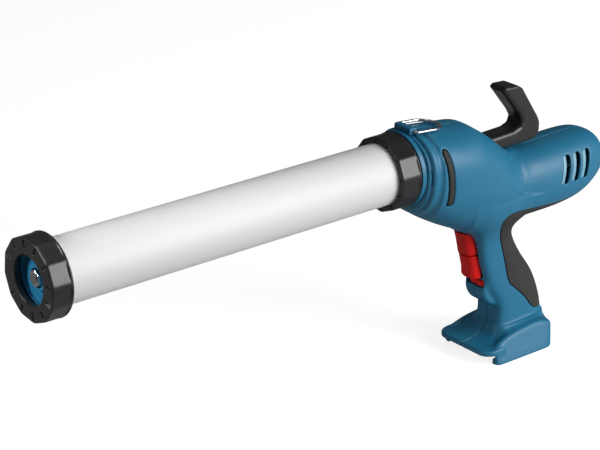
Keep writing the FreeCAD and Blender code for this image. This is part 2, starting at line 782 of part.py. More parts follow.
def pull_hook():
    """Black hook on the rack's tail, held by a cross bolt and its nut."""
    place_at = ("hook_front", "0", "-hook_drop")
    outline = share_outline(HOOK_SHARES, "hook_reach", "hook_height")
    blank = slab("pull_hook_blank", outline, "hook_thickness", place_at)

    def on_side(edge):
        box = edge.BoundBox
        return box.YLength < value("seat_gap") and box.XMax > value("hook_front + hook_edge_round")

    eased = rounded("pull_hook_eased", blank, "hook_edge_round", on_side)
    width = "tail_half_width + seat_gap"
    height = "tail_half_height + seat_gap"
    socket = block("pull_hook_socket", ("hook_front - overrun", f"-({width})", f"-({height})"),
                   (f"{RACK_REAR} + free_gap", width, height))
    bolt_x = f"{RACK_REAR} - hook_bolt_setback"
    side = "hook_thickness / 2"
    through = rod("pull_hook_hole", "hook_bolt_radius + seat_gap", "hook_thickness + 2 * overrun",
                  (bolt_x, f"-{side} - overrun", "0"), ALONG_Y)
    well_radius = "hook_bolt_head_radius + free_gap"
    near = rod("pull_hook_well", well_radius, "hook_well_depth + overrun",
               (bolt_x, f"-{side} - overrun", "0"), ALONG_Y)
    far = rod("pull_hook_nut_well", well_radius, "hook_well_depth + overrun",
              (bolt_x, f"{side} - hook_well_depth", "0"), ALONG_Y)
    keep(cut("pull_hook", eased, [socket, through, near, far]), "pull_hook")
    seat = f"-({side} - hook_well_depth)"
    head = rod("hook_bolt_head", "hook_bolt_head_radius", "hook_bolt_head_depth",
               (bolt_x, f"{seat} - hook_bolt_head_depth", "0"), ALONG_Y)
    shank = rod("hook_bolt_shank", "hook_bolt_radius", "hook_thickness - hook_well_depth",
                (bolt_x, seat, "0"), ALONG_Y)
    keep(joined("hook_bolt", [head, shank]), "hook_bolt")
    nut = doc.addObject("Part::Prism", "hook_nut_blank")
    nut.Polygon = 6
    nut.setExpression("Circumradius", bind("hook_bolt_head_radius"))
    nut.setExpression("Height", bind("hook_bolt_head_depth"))
    place(nut, (bolt_x, f"{side} - hook_well_depth", "0"), ALONG_Y)
    nut_hole = rod("hook_nut_hole", "hook_bolt_radius + seat_gap", "hook_thickness", (bolt_x, "0", "0"), ALONG_Y)
    keep(cut("hook_nut", nut, [nut_hole]), "hook_nut")


# Gear wheels
def involute(angle):
    """The involute function of a pressure angle."""
    return math.tan(angle) - angle


def gear_outline(teeth, module, phase, addendum, dedendum, thickness):
    """Corner points (radius, angle) of a spur gear, with a tooth centred on its phase angle."""
    pitch_radius = module * teeth / 2
    base = pitch_radius * math.cos(PRESSURE_ANGLE)
    tip = pitch_radius + addendum
    root = pitch_radius - dedendum
    start = max(base, root)
    radii = [start + (tip - start) * step / FLANK_STEPS for step in range(FLANK_STEPS + 1)]
    if root < base:
        radii.insert(0, root)
    flank = []
    for radius in radii:
        angle = math.acos(min(1.0, base / radius))
        half = thickness / 2 / pitch_radius + involute(PRESSURE_ANGLE) - involute(angle)
        flank.append((radius, half))
    points = []
    for tooth in range(teeth):
        centre = phase + 2 * math.pi * tooth / teeth
        points += [(radius, centre - half) for radius, half in flank]
        points += [(radius, centre + half) for radius, half in reversed(flank)]
    return points


def spur_face(teeth, module, phase, internal=False):
    """Flat gear outline in the XY plane; an internal one is the space inside a ring gear."""
    sign = 1 if internal else -1
    thickness = module * (math.pi / 2 + sign * BACKLASH_SHARE)
    shares = (ADDENDUM_SHARE, DEDENDUM_SHARE)
    outward, inward = reversed(shares) if internal else shares
    points = gear_outline(teeth, module, phase, outward * module, inward * module, thickness)
    corners = [Vector(radius * math.cos(angle), radius * math.sin(angle), 0) for radius, angle in points]
    return Part.Face(Part.makePolygon(corners + corners[:1]))


def bored(solid, radius, length):
    """A gear blank that lies on +Z with a hole along its axis."""
    spare = value("overrun")
    hole = Part.makeCylinder(radius, length + 2 * spare, Vector(0, 0, -spare))
    return solid.cut(hole)


def bevel_blank(teeth, module, phase):
    """Mitre gear with its apex at the origin and its teeth on +Z."""
    pitch_radius = module * teeth / 2
    cone = pitch_radius * math.sqrt(2)
    tip = pitch_radius * math.tan(math.pi / 4 + math.atan(ADDENDUM_SHARE * module / cone))
    root = pitch_radius * math.tan(math.pi / 4 - math.atan(DEDENDUM_SHARE * module / cone))
    pitch_half = (math.pi / 2 - BEVEL_BACKLASH_SHARE) * module / 2 / pitch_radius
    slope = math.tan(PRESSURE_ANGLE) / math.sqrt(2) / pitch_radius
    points = []
    for tooth in range(teeth):
        centre = phase + 2 * math.pi * tooth / teeth
        for radius, side in ((root, -1), (tip, -1), (tip, 1), (root, 1)):
            half = pitch_half - (radius - pitch_radius) * slope
            points.append((radius, centre + side * half))

    def wire(scale):
        corners = [Vector(scale * radius * math.cos(angle), scale * radius * math.sin(angle), scale * pitch_radius)
                   for radius, angle in points]
        return Part.makePolygon(corners + corners[:1])

    teeth_part = Part.makeLoft([wire(BEVEL_FACE_SHARE), wire(1.0)], True, True)
    hub = Part.makeCylinder(root, value("bevel_hub_length"), Vector(0, 0, pitch_radius))
    return teeth_part.fuse(hub).removeSplitter()


# A turn of +Z on to +Y keeps gear angles measured from +X towards -Z, about +Y
GEAR_TO_Y = Rotation(Vector(1, 0, 0), -90)
GEAR_TO_X = Rotation(Vector(0, 1, 0), 90)


def rack_drive():
    """Rack pinion and drive gear on one shaft, the idler and its clutch on another, and the guide roller."""
    shaft_at = (PINION_X, f"-{PLATE_OUTER}", f"-{PINION_DROP}")
    width = f"2 * {PLATE_OUTER}"
    keep(rod("rack_shaft", "rack_shaft_radius", width, shaft_at, ALONG_Y), "rack_shaft")
    up = -math.pi / 2
    bore = value("rack_shaft_radius + seat_gap")
    length = value("2 * pinion_half_width")
    pinion = spur_face(RACK_PINION_TEETH, value("rack_module"), up).extrude(Vector(0, 0, length))
    centre = Vector(value(PINION_X), 0, -value(PINION_DROP))
    pinion_piece = shaped("rack_pinion", bored(pinion, bore, length))
    pinion_piece.Placement = Placement(centre - Vector(0, length / 2, 0), GEAR_TO_Y)
    keep(pinion_piece, "rack_pinion")
    gear_width = value("gear_width")
    gear_module = value("gear_module")
    drive = spur_face(DRIVE_GEAR_TEETH, gear_module, up).extrude(Vector(0, 0, gear_width))
    drive_piece = shaped("drive_gear", bored(drive, bore, gear_width))
    drive_piece.Placement = Placement(centre + Vector(0, value("gear_start"), 0), GEAR_TO_Y)
    keep(drive_piece, "drive_gear")
    clutch = Vector(value(CLUTCH_X), 0, -value("motor_drop"))
    towards = math.atan2(centre.z - clutch.z, clutch.x - centre.x)
    pitch = math.pi * gear_module
    drive_offset = gear_module * DRIVE_GEAR_TEETH / 2 * (up - towards) + pitch / 2
    phase = towards + math.pi - drive_offset / (gear_module * IDLER_TEETH / 2)
    idler = spur_face(IDLER_TEETH, gear_module, phase).extrude(Vector(0, 0, gear_width))
    idler_piece = shaped("idler_pinion", bored(idler, value("clutch_shaft_radius + seat_gap"), gear_width))
    idler_piece.Placement = Placement(clutch + Vector(0, value("gear_start"), 0), GEAR_TO_Y)
    keep(idler_piece, "idler_pinion")
    clutch_at = (CLUTCH_X, f"-{PLATE_OUTER}", "-motor_drop")
    keep(rod("clutch_shaft", "clutch_shaft_radius", width, clutch_at, ALONG_Y), "clutch_shaft")
    clutch_middle = (CLUTCH_X, "0", "-motor_drop")
    keep(collar("clutch_sleeve", SLEEVE_LEFT, "sleeve_right", "clutch_shaft_radius + running_gap",
                "sleeve_radius", clutch_middle, X_TO_Y), "clutch_sleeve")
    roller_at = (PINION_X, "0", ROLLER_Z)
    keep(collar("guide_roller", "-roller_half_width", "roller_half_width", "roller_pin_radius + running_gap",
                "roller_radius", roller_at, X_TO_Y), "guide_roller")
    pin_at = (PINION_X, f"-{PLATE_OUTER}", ROLLER_Z)
    keep(rod("roller_pin", "roller_pin_radius", width, pin_at, ALONG_Y), "roller_pin")


def bevel_pair():
    """Mitre wheel on the clutch shaft and mitre pinion on the gearbox's output shaft."""
    module = value("bevel_module")
    apex = Vector(value(CLUTCH_X), 0, -value("motor_drop"))
    depth = value(BEVEL_BACK)
    half_step = math.pi / BEVEL_TEETH
    wheel = bored(bevel_blank(BEVEL_TEETH, module, half_step), value("clutch_shaft_radius + running_gap"), depth)
    wheel_piece = shaped("bevel_wheel", wheel)
    wheel_piece.Placement = Placement(apex, Rotation(Vector(1, 0, 0), 90))
    keep(wheel_piece, "bevel_wheel")
    towards_wheel = -math.pi / 2
    pinion = bored(bevel_blank(BEVEL_TEETH, module, towards_wheel), value("clutch_shaft_radius + seat_gap"), depth)
    pinion_piece = shaped("bevel_pinion", pinion)
    pinion_piece.Placement = Placement(apex, GEAR_TO_X)
    keep(pinion_piece, "bevel_pinion")


def planetary():
    """Sun, planets, carrier and ring gear of the reduction behind the bevel pinion."""
    module = value("planet_module")
    axis = Vector(0, 0, -value("motor_drop"))
    pitch = math.pi * module
    sun_radius = module * SUN_TEETH / 2
    planet_radius = module * PLANET_TEETH / 2
    ring_radius = module * RING_TEETH / 2
    front = value(PLANET_FRONT)
    width = value("planet_width")
    sun = spur_face(SUN_TEETH, module, 0.0).extrude(Vector(0, 0, width))
    sun_piece = shaped("motor_pinion", bored(sun, value("rotor_shaft_radius + seat_gap"), width))
    sun_piece.Placement = Placement(axis + Vector(front, 0, 0), GEAR_TO_X)
    keep(sun_piece, "motor_pinion")
    orbit = value(PLANET_ORBIT)
    for number in range(PLANETS):
        around = 2 * math.pi * number / PLANETS
        phase = around + math.pi + (sun_radius * around - pitch / 2) / planet_radius
        planet = spur_face(PLANET_TEETH, module, phase).extrude(Vector(0, 0, width))
        name = f"planet_gear_{number + 1}"
        planet_piece = shaped(name, bored(planet, value("planet_pin_radius + running_gap"), width))
        middle = GEAR_TO_X.multVec(Vector(orbit * math.cos(around), orbit * math.sin(around), 0))
        planet_piece.Placement = Placement(axis + Vector(front, 0, 0) + middle, GEAR_TO_X)
        keep(planet_piece, name)
        if number == 0:
            ring_phase = around + planet_radius * (phase - around) / ring_radius
    length = value("gearbox_length")
    space = spur_face(RING_TEETH, module, ring_phase, True).extrude(Vector(0, 0, length))
    ring = Part.makeCylinder(value("gearbox_radius"), length).cut(space)
    ring_piece = shaped("gearbox_ring", ring)
    ring_piece.Placement = Placement(axis + Vector(value(GEARBOX_FRONT), 0, 0), GEAR_TO_X)
    keep(ring_piece, "gearbox_ring")
    shaft_front = f"{CLUTCH_X} + {BEVEL_FACE_SHARE} * {BEVEL_PITCH}"
    carrier = [(shaft_front, "0"), (CARRIER_REAR, "0"), (CARRIER_REAR, "carrier_radius"),
               (CARRIER_FRONT, "carrier_radius"), (CARRIER_FRONT, "clutch_shaft_radius"),
               (shaft_front, "clutch_shaft_radius")]
    pieces = [turned("planet_carrier_plate", carrier, MOTOR_AXIS)]
    for number in range(PLANETS):
        around = 2 * math.pi * number / PLANETS
        direction = GEAR_TO_X.multVec(Vector(math.cos(around), math.sin(around), 0))
        pin_at = (CARRIER_FRONT, f"{PLANET_ORBIT} * {direction.y}",
                  f"{PLANET_ORBIT} * {direction.z} - motor_drop")
        pin_length = "carrier_thickness + planet_gap + planet_width"
        pieces.append(rod(f"planet_pin_{number + 1}", "planet_pin_radius", pin_length, pin_at, ALONG_X))
    keep(joined("planet_carrier", pieces), "planet_carrier")


def motor():
    """Motor can, end bell, rotor, bearings and fan."""
    shaft = "rotor_shaft_radius"
    hole = "bearing_radius + seat_gap"
    inner = "motor_radius - motor_wall"
    can = [(GEARBOX_REAR, hole), (f"{GEARBOX_REAR} + bell_wall", hole), (f"{GEARBOX_REAR} + bell_wall", inner),
           (MOTOR_REAR, inner), (MOTOR_REAR, "motor_radius"), (GEARBOX_REAR, "motor_radius")]
    keep(turned("motor_can", can, MOTOR_AXIS), "motor_can")
    bell_inner = f"{BELL_REAR} - bell_wall"
    bell = [(MOTOR_REAR, inner), (bell_inner, inner), (bell_inner, hole), (BELL_REAR, hole),
            (BELL_REAR, "motor_radius"), (MOTOR_REAR, "motor_radius")]
    keep(turned("motor_end_bell", bell, MOTOR_AXIS), "motor_end_bell")
    fan_rear = f"{FAN_FRONT} + fan_length"
    commutator_rear = f"{ROTOR_REAR} + commutator_length"
    rotor = [(PLANET_FRONT, "0"), (f"{BELL_REAR} + shaft_tail", "0"), (f"{BELL_REAR} + shaft_tail", shaft),
             (commutator_rear, shaft), (commutator_rear, "commutator_radius"), (ROTOR_REAR, "commutator_radius"),
             (ROTOR_REAR, "rotor_radius"), (ROTOR_FRONT, "rotor_radius"), (ROTOR_FRONT, shaft),
             (PLANET_FRONT, shaft)]
    keep(turned("motor_rotor", rotor, MOTOR_AXIS), "motor_rotor")
    bore = "rotor_shaft_radius + running_gap"
    front_bearing = collar("front_bearing", GEARBOX_REAR, f"{GEARBOX_REAR} + bell_wall", bore, "bearing_radius",
                           MOTOR_AXIS)
    rear_bearing = collar("rear_bearing", bell_inner, BELL_REAR, bore, "bearing_radius", MOTOR_AXIS)
    pair = doc.addObject("Part::Compound", "rotor_bearings")
    pair.Links = [front_bearing, rear_bearing]
    keep(pair, "rotor_bearings")
    fan_bore = "rotor_shaft_radius + seat_gap"
    disc_rear = f"{FAN_FRONT} + fan_disc"
    wheel = [(FAN_FRONT, fan_bore), (fan_rear, fan_bore), (fan_rear, "fan_hub_radius"),
             (disc_rear, "fan_hub_radius"), (disc_rear, "fan_radius"), (FAN_FRONT, "fan_radius")]
    blades = [turned("motor_fan_wheel", wheel, MOTOR_AXIS)]
    for number in range(FAN_BLADES):
        around = 2 * math.pi * number / FAN_BLADES
        blade = doc.addObject("Part::Box", f"motor_fan_blade_{number}")
        blade.setExpression("Length", bind("fan_length"))
        blade.setExpression("Width", bind("fan_blade_thickness"))
        blade.setExpression("Height", bind("fan_radius - fan_hub_radius"))
        turn = Rotation(Vector(1, 0, 0), math.degrees(around) - 90)
        blade_at = (FAN_FRONT, f"(fan_hub_radius - seat_gap) * {math.cos(around)}",
                    f"(fan_hub_radius - seat_gap) * {math.sin(around)} - motor_drop")
        blades.append(place(blade, blade_at, turn))
    keep(joined("motor_fan", blades), "motor_fan")


# Guides and gear frame inside the housing
def rod_hole(name, start, end):
    """Square hole that the rack slides through."""
    side = "rack_half_width + guide_gap"
    under = f"rack_pitch_drop + {RACK_ADDENDUM_SHARE} * rack_module + guide_gap"
    return block(name, (f"{start} - overrun", f"-({side})", f"-({under})"),
                 (f"{end} + overrun", side, "rack_top + guide_gap"))


def gear_frame():
    """Rod guides, the two gear plates with their bushes, and the bulkhead that the gearbox sits on."""
    front = block("front_guide_blank", (SOCKET_REAR, "-front_guide_half_width", "-front_guide_half_height"),
                  (PLATE_FRONT, "front_guide_half_width", "front_guide_half_height"))
    keep(cut("front_guide", front, [rod_hole("front_guide_hole", SOCKET_REAR, PLATE_FRONT)]), "front_guide")
    rear_end = f"{PLATE_REAR} + rear_guide_length"
    rear = block("rear_guide_blank", (PLATE_REAR, "-rear_guide_half_width", "-rear_guide_bottom"),
                 (rear_end, "rear_guide_half_width", "rear_guide_top"))
    keep(cut("rear_guide", rear, [rod_hole("rear_guide_hole", PLATE_REAR, rear_end)]), "rear_guide")
    outline = [(f"{PLATE_FRONT} + {u} * plate_length", f"{v} * plate_top") for u, v in PLATE_TOP_SHARES]
    outline += [(f"{PLATE_FRONT} + {u} * plate_length", f"-{v} * plate_bottom") for u, v in PLATE_BOTTOM_SHARES]
    middle = "plate_inner + plate_thickness / 2"
    places = [(PINION_X, f"-{PINION_DROP}", "rack_shaft_radius"), (CLUTCH_X, "-motor_drop", "clutch_shaft_radius")]
    bushes = []
    for side, sign in (("left", "-"), ("right", "")):
        name = f"gear_plate_{side}"
        blank = slab(name + "_blank", outline, "plate_thickness", ("0", f"{sign}({middle})", "0"))
        low = f"-{PLATE_OUTER}" if sign else "plate_inner"
        holes = []
        for number, (x, z, shaft) in enumerate(places):
            holes.append(rod(f"{name}_hole_{number}", "bush_radius + seat_gap", "plate_thickness + 2 * overrun",
                             (x, f"{low} - overrun", z), ALONG_Y))
            bushes.append(collar(f"{name}_bush_{number}", "0", "plate_thickness", f"{shaft} + running_gap",
                                 "bush_radius", (x, low, z), X_TO_Y))
        holes.append(rod(f"{name}_pin_hole", "roller_pin_radius + seat_gap", "plate_thickness + 2 * overrun",
                         (PINION_X, f"{low} - overrun", ROLLER_Z), ALONG_Y))
        keep(cut(name, blank, holes), name)
    group = doc.addObject("Part::Compound", "shaft_bushes")
    group.Links = bushes
    keep(group, "shaft_bushes")
    wall = block("gearbox_bulkhead_blank",
                 (PLATE_REAR, f"-{PLATE_OUTER}", "-motor_drop - bulkhead_bottom"),
                 (GEARBOX_FRONT, PLATE_OUTER, "-motor_drop + bulkhead_top"))
    hole = rod("gearbox_bulkhead_hole", "clutch_shaft_radius + running_gap", "bulkhead_thickness + 2 * overrun",
               (f"{PLATE_REAR} - overrun", "0", "-motor_drop"), ALONG_X)
    keep(cut("gearbox_bulkhead", wall, [hole]), "gearbox_bulkhead")


# Trigger pieces, switch, board and terminals
def trigger_piece(name, shares, setback, depth, top_drop, height, stem_drop):
    """Red sliding piece at the front of the handle, with a round stem that runs in the switch."""
    outline = share_outline([(u, -v) for u, v in shares], depth, height)
    front = f"{HOUSING_FRONT} + {setback}"
    wide = "2 * (opening_half_width - trigger_side_gap)"
    blank = slab(name + "_blank", outline, wide, (front, "0", f"-{top_drop}"))

    def front_side(edge):
        box = edge.BoundBox
        behind = value(f"{front} + {depth}") - value("trigger_round")
        return box.YLength < value("seat_gap") and box.XMin < behind and box.ZLength > value("trigger_round")

    eased = rounded(name + "_eased", blank, "trigger_round", front_side)
    rear = f"{front} + {STEM_ROOT_SHARE} * {depth}"
    reach = f"{HOUSING_FRONT} + switch_setback + stem_entry - ({rear})"
    stem = rod(name + "_stem", "stem_radius", reach, (rear, "0", f"-{stem_drop}"), ALONG_X)
    keep(joined(name, [eased, stem]), name)


def control_group():
    """Trigger, safety trigger, lock slide and switch in the handle; board and terminals below them."""
    trigger_piece("trigger", TRIGGER_SHARES, "trigger_setback", "trigger_depth", "trigger_top_drop",
                  "trigger_height", "trigger_stem_drop")
    trigger_piece("safety_trigger", SAFETY_SHARES, "safety_setback", "safety_depth", "safety_top_drop",
                  "safety_height", "safety_stem_drop")
    lock_front = f"{HOUSING_FRONT} + lock_setback"
    bar = block("lock_slide_blank",
                (lock_front, "-lock_half_width - lock_rest_shift", "-lock_drop - lock_height / 2"),
                (f"{lock_front} + lock_length", "lock_half_width - lock_rest_shift", "-lock_drop + lock_height / 2"))
    keep(rounded("lock_slide", bar, "lock_round", lambda edge: True), "lock_slide")
    switch_front = f"{HOUSING_FRONT} + switch_setback"
    case = block("switch_module_case", (switch_front, "-switch_half_width", "-switch_top_drop - switch_height"),
                 (f"{switch_front} + switch_length", "switch_half_width", "-switch_top_drop"))
    bores = [rod(f"switch_bore_{number}", "stem_radius + stem_gap", "switch_bore_depth + overrun",
                 (f"{switch_front} - overrun", "0", f"-{drop}"), ALONG_X)
             for number, drop in enumerate(("trigger_stem_drop", "safety_stem_drop"))]
    keep(cut("switch_module", case, bores), "switch_module")
    terminal_group()


def terminal_group():
    """Terminal block in the foot with its contact blades, and the circuit board that stands on it."""
    front = f"({HOUSING_FRONT} + terminal_setback)"
    rear = f"({front} + terminal_length)"
    top = f"(-{CEILING_TOP} + terminal_flange_thickness + terminal_rise)"
    under = f"(-{BAY_CEILING} - terminal_drop)"
    core = block("terminal_core", (front, "-terminal_half_width", under), (rear, "terminal_half_width", top))
    edge = "terminal_half_width + terminal_flange"
    flange = block("terminal_flange", (f"{front} - terminal_flange", f"-({edge})", f"-{CEILING_TOP}"),
                   (f"{rear} + terminal_flange", edge, f"-{CEILING_TOP} + terminal_flange_thickness"))
    solid = joined("terminal_solid", [core, flange])
    blade_low = f"(-{BAY_CEILING} - blade_drop - blade_height)"
    slots = []
    blades = []
    for number in range(BLADES):
        across = f"({number - (BLADES - 1) / 2} * blade_pitch)"
        half = "blade_thickness / 2"
        start = f"{front} - blade_free"
        blades.append(block(f"blade_{number}", (start, f"{across} - {half}", blade_low),
                            (f"{start} + blade_length", f"{across} + {half}", f"{blade_low} + blade_height")))
        slots.append(block(f"blade_slot_{number}", (f"{front} - overrun", f"{across} - {half} - seat_gap",
                                                    f"{blade_low} - seat_gap"),
                           (f"{start} + blade_length + seat_gap", f"{across} + {half} + seat_gap",
                            f"{blade_low} + blade_height + seat_gap")))
    keep(cut("terminal_block", solid, slots), "terminal_block")
    group = doc.addObject("Part::Compound", "contact_blades")
    group.Links = blades
    keep(group, "contact_blades")
    board_front = f"({HOUSING_FRONT} + board_setback)"
    card = block("board_card", (board_front, "-board_half_thickness", top),
                 (f"{board_front} + board_length", "board_half_thickness", f"{top} + board_height"))
    parts = [card]
    across, up = CAPACITOR_SHARES
    parts.append(rod("board_capacitor", "capacitor_radius", "capacitor_height",
                     (f"{board_front} + {across} * board_length", "0", f"{top} + {up} * board_height"), ALONG_Y))
    across, up = CHIP_SHARES
    chip_x = f"{board_front} + {across} * board_length"
    chip_z = f"{top} + {up} * board_height"
    parts.append(block("board_chip", (chip_x, "0", chip_z),
                       (f"{chip_x} + chip_side", "board_half_thickness + chip_height", f"{chip_z} + chip_side")))
    keep(joined("circuit_board", parts), "circuit_board")


# Blue body
def closed_curve(points):
    """Smooth closed wire through points."""
    curve = Part.BSplineCurve()
    curve.interpolate(Points=points, PeriodicFlag=True)
    return Part.Wire([curve.toShape()])


def section_angles():
    """Even steps round a section."""
    return [2 * math.pi * step / SECTION_POINTS for step in range(SECTION_POINTS)]


def squared(part, squareness):
    """Sine or cosine drawn out towards a square corner; a squareness of 2 leaves it round."""
    return math.copysign(abs(part) ** (2 / squareness), part)


def housing(inset):
    """Gear housing: egg-shaped sections along the tube's axis, drawn in by an inset."""
    front = value(HOUSING_FRONT) + inset
    length = value("housing_length") - 2 * inset
    sections = []
    for along, wide, top, middle, bottom in HOUSING_SHARES:
        half = wide * value("housing_half_width") - inset
        centre = middle * value("housing_bottom")
        above = top * value("housing_top") - centre - inset
        below = centre - bottom * value("housing_bottom") - inset
        x = front + along * length
        points = []
        for angle in section_angles():
            height = above if math.sin(angle) > 0 else below
            across = half * squared(math.cos(angle), HOUSING_SQUARENESS)
            points.append(Vector(x, across, centre + height * squared(math.sin(angle), HOUSING_SQUARENESS)))
        sections.append(closed_curve(points))
    return Part.makeLoft(sections, True, False)


def barrel(inset):
    """Motor barrel: round sections behind and below the tube's axis, with a slanted round end."""
    radius = value("barrel_radius")
    front = value(f"{HOUSING_FRONT} + barrel_start") + inset
    length = value("barrel_length") - 2 * inset
    sections = []
    for along, size, lift in BARREL_SHARES:
        centre = Vector(front + along * length, 0, lift * radius - value("motor_drop"))
        circle = Part.Circle(centre, Vector(1, 0, 0), size * radius - inset)
        sections.append(Part.Wire([circle.toShape()]))
    return Part.makeLoft(sections, True, False)


def oval(centre, half_length, half_width):
    """Level oval wire, flatter in front than behind."""
    points = []
    for angle in section_angles():
        squareness = FRONT_SQUARENESS if math.cos(angle) < 0 else REAR_SQUARENESS
        along = half_length * squared(math.cos(angle), squareness)
        points.append(centre + Vector(along, half_width * squared(math.sin(angle), squareness), 0))
    return closed_curve(points)


def handle(inset):
    """Handle: level oval sections that lean back on the way down."""
    top = Vector(value(HANDLE_TOP_X), 0, -value("handle_top_drop"))
    sections = []
    for down, lean, long, wide in HANDLE_SHARES:
        centre = top + Vector(lean * value("handle_lean"), 0, -down * value("handle_length"))
        sections.append(oval(centre, long * value("handle_half_length") - inset,
                             wide * value("handle_half_width") - inset))
    return Part.makeLoft(sections, True, False)


def skirt():
    """Flare from the handle's bottom to the top of the foot."""
    low = -value("handle_top_drop + handle_length")
    high = low + value("skirt_height")
    x = value(f"{HANDLE_TOP_X} + handle_lean")
    half_length = value("handle_half_length")
    half_width = value("handle_half_width")
    sections = []
    for height, shares in ((high, SKIRT_TOP_SHARES), (low, SKIRT_BOTTOM_SHARES)):
        sections.append(oval(Vector(x, 0, height), shares[0] * half_length, shares[1] * half_width))
    return Part.makeLoft(sections, True, True)


def eased_box(low, high, radius, chosen):
    """Box between two corners with the chosen edges rounded."""
    size = high - low
    box = Part.makeBox(size.x, size.y, size.z, low)
    return box.makeFillet(radius, [edge for edge in box.Edges if chosen(edge.BoundBox)])


def smooth_prism(curve_points, corners, half_width):
    """Prism across Y whose outline is a smooth curve closed by straight sides through corners."""
    across = Vector(0, half_width, 0)
    curve = Part.BSplineCurve()
    curve.interpolate(Points=[point - across for point in curve_points])
    sides = [curve_points[-1] - across] + [point - across for point in corners] + [curve_points[0] - across]
    edges = [curve.toShape()] + Part.makePolygon(sides).Edges
    return Part.Face(Part.Wire(edges)).extrude(across * 2)


def foot():
    """Battery foot: flat flanks with a curved upper edge, a bowed rear, a dished top and a lip in front."""
    front = value(f"{HOUSING_FRONT} + foot_setback")
    length = value("foot_length")
    height = value("foot_height")
    half = value("foot_half_width")
    bottom = -value("foot_bottom_drop")
    top_curve = [Vector(front + u * length, 0, bottom + v * height) for u, v in FOOT_SHARES]
    corners = [Vector(front + length, 0, bottom), Vector(front, 0, bottom)]
    main = smooth_prism(top_curve, corners, half)
    bow = value("foot_rear_bow")
    rear_left = Vector(front + length - bow, -half, bottom)
    rear_right = Vector(front + length - bow, half, bottom)
    arc = Part.Arc(rear_left, Vector(front + length, 0, bottom), rear_right)
    straight = [rear_right, Vector(front, half, bottom), Vector(front, -half, bottom), rear_left]
    plan = Part.Face(Part.Wire([arc.toShape()] + Part.makePolygon(straight).Edges))
    main = main.common(plan.extrude(Vector(0, 0, height)))
    spare = value("overrun")
    lean = value("foot_flank_lean")
    flank = [Vector(front - spare, -half, bottom), Vector(front - spare, -half + lean, bottom + height),
             Vector(front - spare, -half, bottom + height), Vector(front - spare, -half, bottom)]
    wedge = Part.Face(Part.makePolygon(flank)).extrude(Vector(length + 2 * spare, 0, 0))
    main = main.cut(both_sides(wedge))
    small = value("seat_gap")
    upper = [edge for edge in main.Edges if edge.BoundBox.XLength > half and edge.BoundBox.ZMin > bottom + small]
    upper = [edge for edge in upper if abs(edge.CenterOfMass.y) > half / 2]
    main = main.makeFillet(value("foot_round"), upper)
    inside = half - value("foot_flank_lean / 2 + foot_flank")
    dish_low = Vector(front - spare, -inside, bottom + value("foot_dish_depth"))
    dish_length = value("foot_dish_length") + spare
    main = main.cut(Part.makeBox(dish_length, 2 * inside, height, dish_low))
    lip_half = value("lip_half_width")
    lip_low = Vector(front - value("lip_length / 2"), -lip_half, -value(BAY_CEILING))
    lip_high = Vector(front + value("lip_length / 2"), lip_half, -value(BAY_CEILING) + value("lip_thickness"))
    lip = eased_box(lip_low, lip_high, value("lip_corner"),
                    lambda box: box.XMax < front and box.ZLength > small)
    return main.fuse(lip)


def bump():
    """Round nose under the trigger that holds the lock slide."""
    centre = Vector(value(f"{HOUSING_FRONT} + bump_setback"), -value("bump_half_width"), -value("bump_drop"))
    nose = Part.makeCylinder(value("bump_radius"), 2 * value("bump_half_width"), centre, Vector(0, 1, 0))
    round_edges = [edge for edge in nose.Edges if edge.BoundBox.YLength < value("seat_gap")]
    return nose.makeFillet(value("bump_round"), round_edges)


def span(low, high):
    """Box between corners given as expressions."""
    start = Vector(*(value(part) for part in low))
    size = Vector(*(value(part) for part in high)) - start
    return Part.makeBox(size.x, size.y, size.z, start)


def both_sides(shape):
    """A shape and its mirror image across the middle plane."""
    return [shape, shape.mirror(Vector(), Vector(0, 1, 0))]


def leaning_slot(start, end, width, inner, depth):
    """Slot through a side wall: a round-ended bar between two points of the XZ plane, cut along Y."""
    radius = width / 2
    run = end - start
    across = Vector(-run.z, 0, run.x).normalize() * radius
    corners = [start + across, end + across, end - across, start - across, start + across]
    middle = Part.Face(Part.makePolygon(corners)).extrude(Vector(0, -depth, 0))
    ends = [Part.makeCylinder(radius, depth, point, Vector(0, -1, 0)) for point in (start, end)]
    slot = middle.fuse(ends)
    slot.translate(Vector(0, -inner, 0))
    return slot


def body_slots():
    """Long side slots of the housing and the vents of the motor barrel."""
    front = value(HOUSING_FRONT)
    top = Vector(front + value("side_slot_setback - side_slot_lean"), 0, value("side_slot_top"))
    low = Vector(front + value("side_slot_setback"), 0, -value("side_slot_bottom"))
    inner = value("housing_half_width - slot_depth")
    slots = both_sides(leaning_slot(top, low, value("side_slot_width"), inner, value("2 * slot_depth")))
    for number in range(VENTS):
        x = front + value("vent_setback") + number * value("vent_pitch")
        high = Vector(x, 0, value("vent_rise + vent_lean - motor_drop") + value("vent_lean"))
        bottom = high - Vector(value("vent_lean"), 0, value("vent_height"))
        slot = leaning_slot(high, bottom, value("vent_width"), value("vent_inner"), value("vent_depth"))
        slots += both_sides(slot)
    return slots


def screw_places():
    """Places of the shell screws in the XZ plane."""
    length = value("housing_length")
    return [Vector(value(HOUSING_FRONT) + u * length, 0, v * length) for u, v in SCREW_SHARES]


